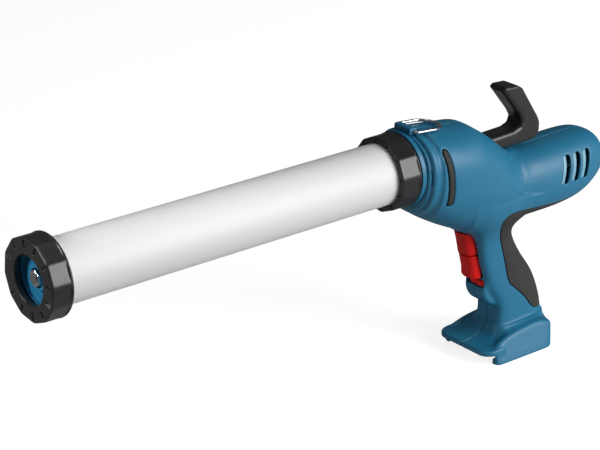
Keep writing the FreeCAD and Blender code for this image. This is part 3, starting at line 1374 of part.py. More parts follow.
def body_cuts():
    """Everything cut through the finished shells: socket, rack exit, trigger, lock, battery bay and slots."""
    front = value(HOUSING_FRONT)
    spare = value("overrun")
    socket = Part.makeCylinder(value("socket_spigot_radius + seat_gap"), value("shell_wall") + 2 * spare,
                               Vector(front - spare, 0, 0), Vector(1, 0, 0))
    rear_flange = Part.makeCylinder(value("socket_rear_flange_radius + seat_gap"),
                                    value("socket_rear_flange_thickness"),
                                    Vector(front + value("shell_wall"), 0, 0), Vector(1, 0, 0))
    rear = f"{HOUSING_FRONT} + housing_length"
    rack_exit = span((f"{rear} - exit_depth", "-exit_half_width", "-exit_bottom"),
                     (f"{rear} + exit_reach", "exit_half_width", "exit_top + exit_depth"))
    rack_under = f"(rack_pitch_drop + {RACK_ADDENDUM_SHARE} * rack_module + free_gap)"
    rack_groove = span((f"{rear} - exit_depth", "-rack_half_width - free_gap", f"-{rack_under}"),
                       (f"{rear} + exit_reach + exit_depth", "rack_half_width + free_gap", "exit_top"))
    mouth_front = f"{HOUSING_FRONT} + opening_start"
    opening = span((mouth_front, "-opening_half_width", "-opening_top_drop - opening_height"),
                   (f"{mouth_front} + opening_depth", "opening_half_width", "-opening_top_drop"))
    lock_front = f"{HOUSING_FRONT} + lock_setback - overrun"
    lock_side = "lock_half_width + lock_rest_shift + free_gap"
    lock_reach = "(lock_height / 2 + free_gap)"
    lock = span((lock_front, f"-({lock_side})", f"-lock_drop - {lock_reach}"),
                (f"{lock_front} + overrun + lock_length + free_gap", lock_side, f"-lock_drop + {lock_reach}"))
    bay_front = f"{HOUSING_FRONT} + foot_setback - lip_length"
    bay_rear = f"{HOUSING_FRONT} + foot_setback + foot_length - bay_rear_wall"
    bay = span((bay_front, "-bay_half_width", "-foot_bottom_drop + rail_height"),
               (bay_rear, "bay_half_width", f"-{BAY_CEILING}"))
    throat = span((bay_front, "-bay_half_width + rail_depth", "-foot_bottom_drop - overrun"),
                  (bay_rear, "bay_half_width - rail_depth", f"-{BAY_CEILING}"))
    terminal_front = f"{HOUSING_FRONT} + terminal_setback - seat_gap"
    window_side = "terminal_half_width + seat_gap"
    window = span((terminal_front, f"-({window_side})", f"-{BAY_CEILING} - overrun"),
                  (f"{terminal_front} + terminal_length + 2 * seat_gap", window_side, f"-{CEILING_TOP} + overrun"))
    return [socket, rear_flange, rack_exit, rack_groove, opening, lock, bay, throat, window] + body_slots()


def inner_fittings(hollow):
    """Ribs that hold the motor and the bosses round the shell screws, inside the hollow of the shells."""
    fittings = []
    axis = Vector(0, 0, -value("motor_drop"))
    for place_share in RIB_SHARES:
        x = value(GEARBOX_REAR) + place_share * value("motor_length")
        start = axis + Vector(x, 0, 0)
        ring = Part.makeCylinder(value("barrel_radius"), value("rib_thickness"), start, Vector(1, 0, 0))
        hole = Part.makeCylinder(value("motor_radius + free_gap / 2"), value("rib_thickness"), start,
                                 Vector(1, 0, 0))
        upper = Part.makeBox(value("rib_thickness"), value("2 * barrel_radius"), value("2 * barrel_radius"),
                             start - Vector(0, value("barrel_radius"), value("barrel_radius")))
        fittings.append(ring.cut(hole).common(upper))
    wide = value("housing_half_width")
    for point in screw_places():
        fittings.append(Part.makeCylinder(value("boss_radius"), 2 * wide, point - Vector(0, wide, 0),
                                          Vector(0, 1, 0)))
    return [fitting.common(hollow) for fitting in fittings]


def screw_wells():
    """Screw holes: a well for the head in the right shell and a pilot hole in the left one."""
    tools = []
    wide = value("housing_half_width + overrun")
    seat = value("screw_seat")
    pilot = value("screw_length")
    outward = Vector(0, 1, 0)
    well_radius = value("screw_head_radius + free_gap")
    pilot_radius = value("screw_radius + seat_gap")
    for point in screw_places():
        tools.append(Part.makeCylinder(well_radius, wide - seat, point + outward * seat, outward))
        tools.append(Part.makeCylinder(pilot_radius, pilot, point + outward * (seat - pilot), outward))
    return tools


def body_group():
    """The two blue shells, their soft grips, the ring lug and the screws."""
    wall = value("shell_wall")
    skin = value("grip_thickness")
    outer = housing(0).fuse([barrel(0), handle(0), bump(), skirt(), foot()])
    hollow_front = f"{HOUSING_FRONT} + foot_setback + foot_dish_length + shell_wall"
    foot_hollow = span((hollow_front, "-bay_half_width", f"-{CEILING_TOP}"),
                       (f"{HOUSING_FRONT} + foot_setback + foot_length - bay_rear_wall", "bay_half_width",
                        f"-{CEILING_TOP} + foot_hollow_height"))
    hollow = housing(wall).fuse([barrel(wall), handle(wall), foot_hollow])
    fittings = inner_fittings(hollow)
    solid = outer.cut(hollow).fuse(fittings)
    solid = solid.cut(body_cuts() + screw_wells())
    patch = grip_region().common(grip_layer(skin))
    grips = patch.cut(screw_wells())
    shell = solid.cut(patch)
    for side, sign in (("left", -1), ("right", 1)):
        half = half_space(sign)
        keep(shaped(f"{side}_shell", largest(shell.common(half))), f"{side}_shell")
        keep(shaped(f"soft_grip_{side}", largest(grips.common(half))), f"soft_grip_{side}")
    lug_group(outer)
    screws = []
    for number, point in enumerate(screw_places()):
        at = (f"{point.x}", "screw_seat", f"{point.z}")
        head = rod(f"screw_head_{number}", "screw_head_radius", "screw_head_height", at, ALONG_Y)
        shank_at = (f"{point.x}", "screw_seat - screw_length + free_gap", f"{point.z}")
        shank = rod(f"screw_shank_{number}", "screw_radius", "screw_length - free_gap", shank_at, ALONG_Y)
        screws.append(joined(f"shell_screw_{number}", [head, shank]))
    group = doc.addObject("Part::Compound", "shell_screws")
    group.Links = screws
    keep(group, "shell_screws")


def half_space(sign):
    """Large box on one side of the middle plane."""
    reach = value(f"{HOUSING_FRONT} + housing_length + barrel_length")
    low = Vector(0, 0 if sign > 0 else -reach, -reach)
    return Part.makeBox(reach, reach, 2 * reach, low)


def largest(shape):
    """The one solid of a shape that holds nearly all of its volume."""
    return max(shape.Solids, key=lambda solid: solid.Volume)


def grip_layer(skin):
    """Outer layer of the barrel and the handle, as thick as the soft grip."""
    outer = barrel(0).fuse(handle(0))
    return outer.cut(barrel(skin).fuse(handle(skin)))


def grip_region():
    """Prism over the outline of the soft grip, right across the body."""
    length = value("handle_length")
    top = Vector(value(HANDLE_TOP_X), 0, -value("handle_top_drop"))
    front_curve = [top + Vector(u * length, 0, -v * length) for u, v in GRIP_FRONT_SHARES]
    corners = [top + Vector(u * length, 0, -v * length) for u, v in GRIP_REAR_SHARES]
    return smooth_prism(front_curve, corners, value("housing_half_width"))


def lug_group(outer):
    """Lug on top of the housing and the wire ring that swings in it."""
    front = f"{HOUSING_FRONT} + lug_setback"
    low = Vector(value(front), -value("lug_half_width"), value("lug_bottom"))
    high = Vector(value(f"{front} + lug_length"), value("lug_half_width"), value("lug_top"))
    lug = eased_box(low, high, value("lug_round"), lambda box: box.ZMin > value("lug_bottom"))
    pin = Vector(value(f"{front} + lug_length / 2"), 0, value("ring_pin_height"))
    hole = Part.makeCylinder(value("ring_wire_radius + running_gap"), value("2 * ring_half_width"),
                             pin - Vector(0, value("ring_half_width"), 0), Vector(0, 1, 0))
    keep(shaped("ring_lug", largest(lug.cut([outer, hole]))), "ring_lug")
    wire = value("ring_wire_radius")
    corner = value("ring_corner")
    half = value("ring_half_width")
    leg = value("ring_leg")

    def bar(start, end):
        return Part.makeCylinder(wire, (end - start).Length, start, end - start)

    def bend(middle, radius, first, angle):
        """Round bend about an upright axis, from a first direction."""
        circle = Part.Circle(middle + first * radius, Vector(0, 0, 1).cross(first), wire)
        disc = Part.Face(Part.Wire([circle.toShape()]))
        return disc.revolve(middle, Vector(0, 0, 1), angle)

    side = half - corner
    pieces = [bar(pin - Vector(0, side, 0), pin + Vector(0, side, 0))]
    leg_end = corner + leg
    for sign in (-1, 1):
        start = pin + Vector(corner, sign * half, 0)
        pieces.append(bar(start, start + Vector(leg, 0, 0)))
    pieces.append(bend(pin + Vector(corner, side, 0), corner, Vector(0, 1, 0), 90))
    pieces.append(bend(pin + Vector(corner, -side, 0), corner, Vector(-1, 0, 0), 90))
    pieces.append(bend(pin + Vector(leg_end, 0, 0), half, Vector(0, -1, 0), 180))
    ring = pieces[0].fuse(pieces[1:]).removeSplitter()
    ring.rotate(pin, Vector(0, 1, 0), RING_DROOP)
    keep(shaped("hanging_ring", ring), "hanging_ring")


def write_parts():
    """Check every object and every piece, then write one file a piece."""
    doc.recompute()
    failed = [item.Name for item in doc.Objects if "Invalid" in item.State or "Error" in item.State]
    if failed:
        raise RuntimeError(f"failed objects: {failed}")
    for piece in nodes:
        if piece.Shape.isNull() or not piece.Shape.isValid():
            raise RuntimeError(f"bad shape: {piece.Label}")
    os.makedirs("parts", exist_ok=True)
    for piece in nodes:
        piece.Shape.exportStep(f"parts/{piece.Label}.step")
        print(piece.Label, len(piece.Shape.Solids), round(piece.Shape.Volume))


tube_group()
piston_group()
push_rack()
pull_hook()
rack_drive()
bevel_pair()
planetary()
motor()
gear_frame()
control_group()
body_group()
write_parts()
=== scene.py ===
"""Looks of the cordless caulking tool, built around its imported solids.

All shapes are worked out in millimetres in the part's own frame and put into the scene in metres: the origin is
the centre of the front cap's mouth, +X runs back along the tube, +Z is up and -Y is the tool's left.
"""

import json
import logging
import math
from dataclasses import dataclass, field
from enum import Enum
from typing import Dict, List, Sequence, Tuple, Union

import bpy
import numpy as np
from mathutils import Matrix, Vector


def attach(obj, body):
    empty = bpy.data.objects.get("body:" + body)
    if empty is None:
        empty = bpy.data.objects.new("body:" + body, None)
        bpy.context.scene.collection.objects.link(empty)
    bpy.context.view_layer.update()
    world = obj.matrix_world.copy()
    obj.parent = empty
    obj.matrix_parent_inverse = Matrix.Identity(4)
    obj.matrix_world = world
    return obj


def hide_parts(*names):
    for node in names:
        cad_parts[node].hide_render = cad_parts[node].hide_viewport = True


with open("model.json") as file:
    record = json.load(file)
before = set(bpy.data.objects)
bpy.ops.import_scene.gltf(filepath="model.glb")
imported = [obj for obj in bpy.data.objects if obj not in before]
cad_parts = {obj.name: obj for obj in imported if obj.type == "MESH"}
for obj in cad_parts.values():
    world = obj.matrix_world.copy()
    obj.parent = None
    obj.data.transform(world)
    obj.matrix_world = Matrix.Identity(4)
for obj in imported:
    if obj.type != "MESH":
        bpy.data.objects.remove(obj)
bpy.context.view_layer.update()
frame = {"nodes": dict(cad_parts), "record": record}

MM = 0.001
LOG = logging.getLogger("caulking_tool")
SMALL = 1e-4
FAR = 1e6
Array = np.ndarray
Grid = Tuple[Array, Array, Array]
Corner = Tuple[float, float, float]
Place = Tuple[float, float]
Points = Sequence[Place]
Table = Sequence[Sequence[float]]


class Side(Enum):
    """The two halves of the body; the value is the sign of Y."""

    LEFT = -1
    RIGHT = 1


class Texture(Enum):
    """Directions in which a surface's fine grain is drawn out, as a stretch of its coordinates."""

    EVEN = (1.0, 1.0, 1.0)
    ALONG_X = (0.03, 1.0, 1.0)


# Shader groups
def new_group(name: str, inputs: Sequence[Tuple[str, str, object]],
              outputs: Sequence[Tuple[str, str]]) -> bpy.types.NodeTree:
    """Make an empty shader group with its sockets.

    Args:
        name: the group's name.
        inputs: name, socket type and default of each input.
        outputs: name and socket type of each output.

    Returns:
        The group, with its input and output nodes in it.
    """
    group = bpy.data.node_groups.new(name, "ShaderNodeTree")
    for label, kind, default in inputs:
        socket = group.interface.new_socket(label, in_out="INPUT", socket_type=kind)
        socket.default_value = default
    for label, kind in outputs:
        group.interface.new_socket(label, in_out="OUTPUT", socket_type=kind)
    group.nodes.new("NodeGroupInput")
    group.nodes.new("NodeGroupOutput")
    return group


def add_node(tree: bpy.types.NodeTree, kind: str, links: Dict[Union[str, int], bpy.types.NodeSocket],
             values: Dict[Union[str, int], object]) -> bpy.types.Node:
    """Add a node, set its plain values and link its inputs.

    Args:
        tree: the tree that gets the node.
        kind: the node's type.
        links: an input's name or number to the socket that feeds it.
        values: an input's name or number, or a property's name, to its value.

    Returns:
        The new node.
    """
    node = tree.nodes.new(kind)
    for key, setting in values.items():
        if isinstance(key, int) or key in node.inputs:
            node.inputs[key].default_value = setting
        else:
            setattr(node, key, setting)
    for key, socket in links.items():
        tree.links.new(socket, node.inputs[key])
    return node


def colour_socket(sockets: Sequence[bpy.types.NodeSocket], name: str) -> bpy.types.NodeSocket:
    """The colour socket of a name, where a node has several sockets of that name."""
    return next(socket for socket in sockets if socket.name == name and socket.type == "RGBA")


class SurfaceGroups:
    """Shader groups that several finishes share."""

    def __init__(self) -> None:
        """Build both groups once."""
        self.grain = self._grain()
        self.dust = self._dust()

    @staticmethod
    def _grain() -> bpy.types.NodeTree:
        """Fine grain of a surface.

        Returns:
            The group, which puts out a shifted colour, a roughness and a height for a bump.
        """
        vector = "NodeSocketVector"
        number = "NodeSocketFloat"
        group = new_group("fine_grain", [
            ("Stretch", vector, (1.0, 1.0, 1.0)), ("Fine Scale", number, 900.0), ("Broad Scale", number, 25.0),
            ("Colour", "NodeSocketColor", (0.5, 0.5, 0.5, 1.0)), ("Shade", "NodeSocketColor", (0.4, 0.4, 0.4, 1.0)),
            ("Roughness", number, 0.4), ("Roughness Spread", number, 0.1),
        ], [("Colour", "NodeSocketColor"), ("Roughness", number), ("Height", number)])
        given = group.nodes["Group Input"].outputs
        place = add_node(group, "ShaderNodeTexCoord", {}, {})
        drawn = add_node(group, "ShaderNodeVectorMath", {0: place.outputs["Object"], 1: given["Stretch"]},
                         {"operation": "MULTIPLY"})
        fine = add_node(group, "ShaderNodeTexNoise",
                        {"Vector": drawn.outputs["Vector"], "Scale": given["Fine Scale"]},
                        {"Detail": 3.0, "Roughness": 0.55})
        broad = add_node(group, "ShaderNodeTexNoise",
                         {"Vector": drawn.outputs["Vector"], "Scale": given["Broad Scale"]}, {"Detail": 4.0})
        mask = add_node(group, "ShaderNodeMapRange", {"Value": broad.outputs["Fac"]},
                        {"From Min": 0.35, "From Max": 0.65})
        tone = add_node(group, "ShaderNodeMix", {"Factor": mask.outputs["Result"]}, {"data_type": "RGBA"})
        group.links.new(given["Colour"], colour_socket(tone.inputs, "A"))
        group.links.new(given["Shade"], colour_socket(tone.inputs, "B"))
        centred = add_node(group, "ShaderNodeMath", {0: fine.outputs["Fac"]}, {"operation": "SUBTRACT", 1: 0.5})
        spread = add_node(group, "ShaderNodeMath", {0: centred.outputs["Value"], 1: given["Roughness Spread"],
                                                    2: given["Roughness"]}, {"operation": "MULTIPLY_ADD"})
        out = group.nodes["Group Output"].inputs
        group.links.new(colour_socket(tone.outputs, "Result"), out["Colour"])
        group.links.new(spread.outputs["Value"], out["Roughness"])
        group.links.new(fine.outputs["Fac"], out["Height"])
        return group

    @staticmethod
    def _dust() -> bpy.types.NodeTree:
        """Handling marks: small soft specks and faint scuffs.

        Returns:
            The group, which puts out one mask.
        """
        number = "NodeSocketFloat"
        group = new_group("handling_marks", [("Scale", number, 60.0), ("Amount", number, 0.2)], [("Mask", number)])
        given = group.nodes["Group Input"].outputs
        place = add_node(group, "ShaderNodeTexCoord", {}, {})
        noise = add_node(group, "ShaderNodeTexNoise", {"Vector": place.outputs["Object"], "Scale": given["Scale"]},
                         {"Detail": 6.0, "Roughness": 0.7, "Distortion": 0.6})
        mask = add_node(group, "ShaderNodeMapRange", {"Value": noise.outputs["Fac"]},
                        {"From Min": 0.55, "From Max": 0.75})
        scaled = add_node(group, "ShaderNodeMath", {0: mask.outputs["Result"], 1: given["Amount"]},
                          {"operation": "MULTIPLY"})
        group.links.new(scaled.outputs["Value"], group.nodes["Group Output"].inputs["Mask"])
        return group


@dataclass(frozen=True)
class Finish:
    """One surface finish, made into a procedural material."""

    name: str
    colour: Tuple[float, float, float]
    shade: Tuple[float, float, float]
    roughness: float
    spread: float = 0.1
    metallic: float = 0.0
    texture: Texture = Texture.EVEN
    fine_scale: float = 1600.0
    broad_scale: float = 30.0
    bump: float = 0.08
    bump_distance: float = 0.0002
    edge: float = 0.35
    edge_samples: int = 4
    marks: float = 0.0
    specular: float = 0.5

    def material(self, groups: SurfaceGroups) -> bpy.types.Material:
        """Build the material.

        Args:
            groups: the shared shader groups.

        Returns:
            The new material.
        """
        material = bpy.data.materials.new(self.name)
        material.use_nodes = True
        material.diffuse_color = (*self.colour, 1.0)
        tree = material.node_tree
        shader = tree.nodes["Principled BSDF"]
        shader.inputs["Metallic"].default_value = self.metallic
        shader.inputs["Specular IOR Level"].default_value = self.specular
        grain = add_node(tree, "ShaderNodeGroup", {}, {
            "node_tree": groups.grain, "Stretch": self.texture.value, "Fine Scale": self.fine_scale,
            "Broad Scale": self.broad_scale, "Colour": (*self.colour, 1.0), "Shade": (*self.shade, 1.0),
            "Roughness": self.roughness, "Roughness Spread": self.spread})
        marks = add_node(tree, "ShaderNodeGroup", {}, {"node_tree": groups.dust, "Amount": self.marks})
        rough = add_node(tree, "ShaderNodeMath", {0: grain.outputs["Roughness"], 1: marks.outputs["Mask"]},
                         {"operation": "ADD"})
        soft = add_node(tree, "ShaderNodeBevel", {}, {"Radius": self.edge * MM, "samples": self.edge_samples})
        bump = add_node(tree, "ShaderNodeBump",
                        {"Height": grain.outputs["Height"], "Normal": soft.outputs["Normal"]},
                        {"Strength": self.bump, "Distance": self.bump_distance})
        tree.links.new(grain.outputs["Colour"], shader.inputs["Base Color"])
        tree.links.new(rough.outputs["Value"], shader.inputs["Roughness"])
        tree.links.new(bump.outputs["Normal"], shader.inputs["Normal"])
        return material


class FinishBook:
    """All finishes of the tool, by the slots of its record."""

    def __init__(self) -> None:
        """Make every material once."""
        groups = SurfaceGroups()
        finishes = [
            Finish("body_blue", (0.014, 0.176, 0.315), (0.013, 0.166, 0.300), 0.46, fine_scale=1900.0, bump=0.10,
                   marks=0.06),
            Finish("socket_blue", (0.013, 0.165, 0.305), (0.012, 0.154, 0.288), 0.40, marks=0.06),
            # Pale blue of the vent slats: a painted highlight, not the plastic's own colour.
            Finish("louvre_painted_highlight", (0.20, 0.44, 0.58), (0.18, 0.41, 0.55), 0.40),
            Finish("trigger_red", (0.8, 0.009, 0.007), (0.61, 0.007, 0.005), 0.38, bump=0.05, marks=0.08,
                   specular=0.22),
            Finish("black_plastic", (0.018, 0.018, 0.018), (0.014, 0.014, 0.014), 0.30, bump=0.10, marks=0.10),
            Finish("soft_grip", (0.038, 0.037, 0.036), (0.033, 0.032, 0.031), 0.72, fine_scale=1300.0, bump=0.35,
                   specular=0.35, marks=0.04),
            Finish("seal_rubber", (0.014, 0.014, 0.014), (0.011, 0.011, 0.011), 0.6, bump=0.1),
            Finish("machined_steel", (0.50, 0.50, 0.51), (0.44, 0.44, 0.45), 0.30, metallic=1.0,
                   texture=Texture.ALONG_X, fine_scale=700.0, marks=0.08),
            Finish("bright_steel", (0.78, 0.78, 0.79), (0.70, 0.70, 0.71), 0.16, metallic=1.0, bump=0.04,
                   marks=0.1),
            Finish("tube_aluminium", (0.80, 0.80, 0.805), (0.78, 0.78, 0.785), 0.6, metallic=0.05, spread=0.06,
                   texture=Texture.ALONG_X, fine_scale=900.0, broad_scale=14.0, bump=0.03),
            Finish("bronze", (0.60, 0.42, 0.18), (0.52, 0.35, 0.14), 0.34, metallic=1.0, marks=0.1),
            Finish("cast_frame", (0.48, 0.48, 0.49), (0.42, 0.42, 0.43), 0.5, metallic=0.9, fine_scale=500.0,
                   bump=0.3),
            Finish("dark_steel", (0.07, 0.07, 0.075), (0.05, 0.05, 0.055), 0.4, metallic=0.7, marks=0.1),
            Finish("board_green", (0.015, 0.14, 0.05), (0.012, 0.11, 0.04), 0.3, fine_scale=600.0),
        ]
        self.materials = {finish.name: finish.material(groups) for finish in finishes}

    def dress(self, piece: bpy.types.Object, slot: str) -> None:
        """Give a piece the one material of a slot."""
        piece.data.materials.clear()
        piece.data.materials.append(self.materials[slot])


# Distance fields, in millimetres: below zero is inside
def union(first: Array, second: Array, radius: float) -> Array:
    """Join two fields with a blend of a radius."""
    share = np.clip(0.5 + 0.5 * (second - first) / radius, 0.0, 1.0)
    return second * (1.0 - share) + first * share - radius * share * (1.0 - share)


def overlap(first: Array, second: Array, radius: float) -> Array:
    """Keep what lies in both fields, with edges eased by a radius."""
    return -union(-first, -second, radius)


def carve(solid: Array, tool: Array, radius: float) -> Array:
    """Take a tool out of a solid, with edges eased by a radius."""
    return -union(-solid, tool, radius)


def flowing(table: Table, column: int, at: Array) -> Array:
    """Read one column of a table of stations as a smooth curve.

    Args:
        table: rows that start with a place, in rising order.
        column: the column that is read.
        at: the places asked for.

    Returns:
        The value at each place; the end values go on beyond the table.
    """
    keys = np.array([row[0] for row in table])
    values = np.array([row[column] for row in table])
    rises = np.diff(values) / np.diff(keys)
    slopes = np.concatenate([rises[:1], 0.5 * (rises[1:] + rises[:-1]), rises[-1:]])
    place = np.clip(at, keys[0], keys[-1])
    span = np.clip(np.searchsorted(keys, place, side="right") - 1, 0, len(keys) - 2)
    width = np.diff(keys)[span]
    t = (place - keys[span]) / width
    first = (1 + 2 * t) * (1 - t) ** 2 * values[span] + t * (1 - t) ** 2 * width * slopes[span]
    second = t * t * (3 - 2 * t) * values[span + 1] + t * t * (t - 1) * width * slopes[span + 1]
    return first + second


def oval_distance(u: Array, v: Array, half_u: Array, half_v: Array, square: float = 2.0,
                  centre_ease: float = 0.2) -> Array:
    """Distance to an oval, near enough for blends.

    Args:
        u: places along the first axis, from the oval's middle.
        v: places along the second axis, from the oval's middle.
        half_u: half width along the first axis.
        half_v: half width along the second axis.
        square: 2 for an oval; above that it gets squarer.
        centre_ease: keeps the slope down near the middle.

    Returns:
        The distance at each place.
    """
    first = np.abs(u / half_u) + SMALL
    second = np.abs(v / half_v) + SMALL
    total = first ** square + second ** square
    reach = total ** (1.0 / square)
    share = reach ** (1.0 - square)
    slope = np.hypot(share * first ** (square - 1.0) / half_u, share * second ** (square - 1.0) / half_v)
    return (reach - 1.0) / np.maximum(slope, SMALL) * np.minimum(1.0, reach + centre_ease)


def box_distance(at: Grid, low: Corner, high: Corner, corner: float) -> Array:
    """Distance to a box with round edges.

    Args:
        at: the places asked for.
        low: the box's first corner.
        high: the box's last corner.
        corner: the radius of its edges.

    Returns:
        The distance at each place.
    """
    parts = []
    for place, start, end in zip(at, low, high):
        parts.append(np.abs(place - 0.5 * (start + end)) - (0.5 * (end - start) - corner))
    outside = np.sqrt(sum(np.maximum(part, 0.0) ** 2 for part in parts))
    inside = np.minimum(np.maximum(np.maximum(parts[0], parts[1]), parts[2]), 0.0)
    return outside + inside - corner


def path_distance(x: Array, z: Array, points: Points, radius: float) -> Array:
    """Distance in the XZ plane to a round-ended bar along a chain of points.

    Args:
        x: places along X.
        z: places along Z.
        points: the chain.
        radius: the bar's radius.

    Returns:
        The distance at each place.
    """
    best = np.full(np.broadcast(x, z).shape, FAR, dtype=np.float32)
    for (x0, z0), (x1, z1) in zip(points, points[1:]):
        run_x, run_z = x1 - x0, z1 - z0
        t = np.clip(((x - x0) * run_x + (z - z0) * run_z) / (run_x ** 2 + run_z ** 2), 0.0, 1.0)
        best = np.minimum(best, np.hypot(x - x0 - t * run_x, z - z0 - t * run_z))
    return best - radius


def outline_distance(at: Grid, points: Points) -> Array:
    """Distance in the XZ plane to a closed outline.

    Args:
        at: the places asked for.
        points: the outline's corners in order.

    Returns:
        The distance for each X and Z, the same all along Y.
    """
    x, z = at[0][:, 0, :], at[2][0]
    closed = list(points) + [points[0]]
    edge = path_distance(x, z, closed, 0.0)
    inside = np.zeros(edge.shape, dtype=bool)
    for (x0, z0), (x1, z1) in zip(closed, closed[1:]):
        if z0 == z1:
            continue
        crosses = (z0 > z) != (z1 > z)
        inside ^= crosses & (x < x0 + (z - z0) * (x1 - x0) / (z1 - z0))
    return np.where(inside, -edge, edge)[:, None, :]


def smooth_outline(points: Points, steps: int) -> List[Place]:
    """Round a closed chain of points into a curve that passes through them.

    Args:
        points: the chain.
        steps: how many points each stretch is given.

    Returns:
        The points of the curve.
    """
    count = len(points)
    ring = np.array(points)
    made = []
    for index in range(count):
        before, start, end, after = (ring[(index + shift) % count] for shift in (-1, 0, 1, 2))
        for step in range(steps):
            t = step / steps
            place = 0.5 * (2 * start + (end - before) * t + (2 * before - 5 * start + 4 * end - after) * t ** 2
                           + (3 * start - before - 3 * end + after) * t ** 3)
            made.append((float(place[0]), float(place[1])))
    return made


@dataclass
class Skin:
    """A closed mesh found where a distance field is zero."""

    step: float
    rounds: int = 2
    largest_shift: float = 0.4
    least_steepness: float = 0.25

    def grid(self, low: Corner, high: Corner) -> Grid:
        """Places of an open grid between two corners."""
        lines = [np.arange(start, end + self.step, self.step, dtype=np.float32) for start, end in zip(low, high)]
        return lines[0][:, None, None], lines[1][None, :, None], lines[2][None, None, :]

    def mesh(self, name: str, field_values: Array, low: Corner) -> bpy.types.Object:
        """Make the mesh of the zero surface.

        Args:
            name: the new object's name.
            field_values: the field on the grid.
            low: the grid's first corner.

        Returns:
            The new object, smooth shaded, linked to the scene.
        """
        values = field_values.astype(np.float32)
        places, number = self._points(values)
        slopes = [np.gradient(values, self.step, axis=axis) for axis in range(3)]
        limit = self.largest_shift * self.step
        for _ in range(self.rounds):
            here = self._sample(values, places)
            normal = np.stack([self._sample(slope, places) for slope in slopes], axis=1)
            steepness = np.maximum((normal ** 2).sum(axis=1), self.least_steepness)
            places = places - normal * (np.clip(here / steepness, -limit, limit) / self.step)[:, None]
        normal = np.stack([self._sample(slope, places) for slope in slopes], axis=1)
        normal /= np.maximum(np.linalg.norm(normal, axis=1, keepdims=True), SMALL)
        return solid_mesh(name, (places * self.step + np.array(low)) * MM, self._faces(values, number), normal)

    @staticmethod
    def _sample(values: Array, places: Array) -> Array:
        """Read a grid between its points.

        Args:
            values: the grid.
            places: rows of three places, counted in steps of the grid.

        Returns:
            The value at each place.
        """
        limit = np.array(values.shape) - 2
        base = np.clip(np.floor(places).astype(np.int64), 0, limit)
        part = places - base
        total = np.zeros(len(places))
        for corner in range(8):
            bits = np.array([corner >> 2 & 1, corner >> 1 & 1, corner & 1])
            weight = np.prod(np.where(bits, part, 1.0 - part), axis=1)
            at = base + bits
            total += weight * values[at[:, 0], at[:, 1], at[:, 2]]
        return total

    @staticmethod
    def _points(values: Array) -> Tuple[Array, Array]:
        """Find a point in each cell that the surface crosses.

        Args:
            values: the field on the grid.

        Returns:
            The points, counted in steps of the grid, and each cell's point number.
        """
        inside = values < 0.0
        size = np.array(values.shape) - 1
        count = np.zeros(size, dtype=np.int8)
        for corner in range(8):
            i, j, k = corner >> 2 & 1, corner >> 1 & 1, corner & 1
            count += inside[i:i + size[0], j:j + size[1], k:k + size[2]]
        active = (count > 0) & (count < 8)
        cells = np.argwhere(active)
        number = np.full(size, -1, dtype=np.int64)
        number[active] = np.arange(len(cells))
        total = np.zeros((len(cells), 3))
        hits = np.zeros(len(cells))
        for axis in range(3):
            others = [other for other in range(3) if other != axis]
            for first, second in ((0, 0), (0, 1), (1, 0), (1, 1)):
                start = np.zeros(3, dtype=np.int64)
                start[others[0]], start[others[1]] = first, second
                end = start.copy()
                end[axis] = 1
                a = values[tuple((cells + start).T)]
                b = values[tuple((cells + end).T)]
                crossed = (a < 0.0) != (b < 0.0)
                t = np.where(crossed, a / np.where(crossed, a - b, 1.0), 0.0)
                total += np.where(crossed[:, None], start + t[:, None] * (end - start), 0.0)
                hits += crossed
        return cells + total / hits[:, None], number

    @staticmethod
    def _faces(values: Array, number: Array) -> Array:
        """Join the points round each crossed edge of the grid.

        Args:
            values: the field on the grid.
            number: each cell's point number.

        Returns:
            Rows of four point numbers, turned outwards.
        """
        inside = values < 0.0
        faces = []
        for axis in range(3):
            one, two = (axis + 1) % 3, (axis + 2) % 3
            change = inside != np.roll(inside, -1, axis=axis)
            edge = [slice(None)] * 3
            edge[axis] = slice(0, values.shape[axis] - 1)
            edge[one] = slice(1, values.shape[one] - 1)
            edge[two] = slice(1, values.shape[two] - 1)
            found = np.argwhere(change[tuple(edge)])
            found[:, one] += 1
            found[:, two] += 1
            around = []
            for shift_one, shift_two in ((0, 0), (-1, 0), (-1, -1), (0, -1)):
                at = found.copy()
                at[:, one] += shift_one
                at[:, two] += shift_two
                around.append(number[tuple(at.T)])
            quad = np.stack(around, axis=1)
            outward = inside[tuple(found.T)]
            faces.append(np.where(outward[:, None], quad, quad[:, ::-1]))
        return np.concatenate(faces)


def solid_mesh(name: str, places: Array, quads: Array, normal: Array) -> bpy.types.Object:
    """Make a smooth shaded object from points, four-sided faces and normals.

    Args:
        name: the object's name.
        places: points in metres.
        quads: rows of four point numbers.
        normal: the direction of the surface at each point.

    Returns:
        The new object, linked to the scene.
    """
    mesh = bpy.data.meshes.new(name)
    mesh.vertices.add(len(places))
    mesh.vertices.foreach_set("co", places.astype(np.float32).ravel())
    mesh.loops.add(quads.size)
    mesh.loops.foreach_set("vertex_index", quads.astype(np.int32).ravel())
    mesh.polygons.add(len(quads))
    mesh.polygons.foreach_set("loop_start", np.arange(0, quads.size, 4, dtype=np.int32))
    mesh.polygons.foreach_set("use_smooth", np.ones(len(quads), dtype=bool))
    mesh.update(calc_edges=True)
    mesh.validate()
    mesh.normals_split_custom_set_from_vertices(normal.tolist())
    piece = bpy.data.objects.new(name, mesh)
    bpy.context.scene.collection.objects.link(piece)
    return piece


def finish_skin(piece: bpy.types.Object, book: FinishBook, body: str, slot: str, node: str = "",
                finish: str = "") -> None:
    """Give a skin its finish, its body and the solid it stands for.

    Args:
        piece: the skin.
        book: the finishes.
        body: the body it moves with.
        slot: its slot in the record.
        node: the solid it takes the place of, if any.
        finish: its finish, where that isn't the slot's own.
    """
    book.dress(piece, finish or slot)
    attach(piece, body)
    if node:
        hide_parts(node)
    LOG.info("%s: %d faces", piece.name, len(piece.data.polygons))


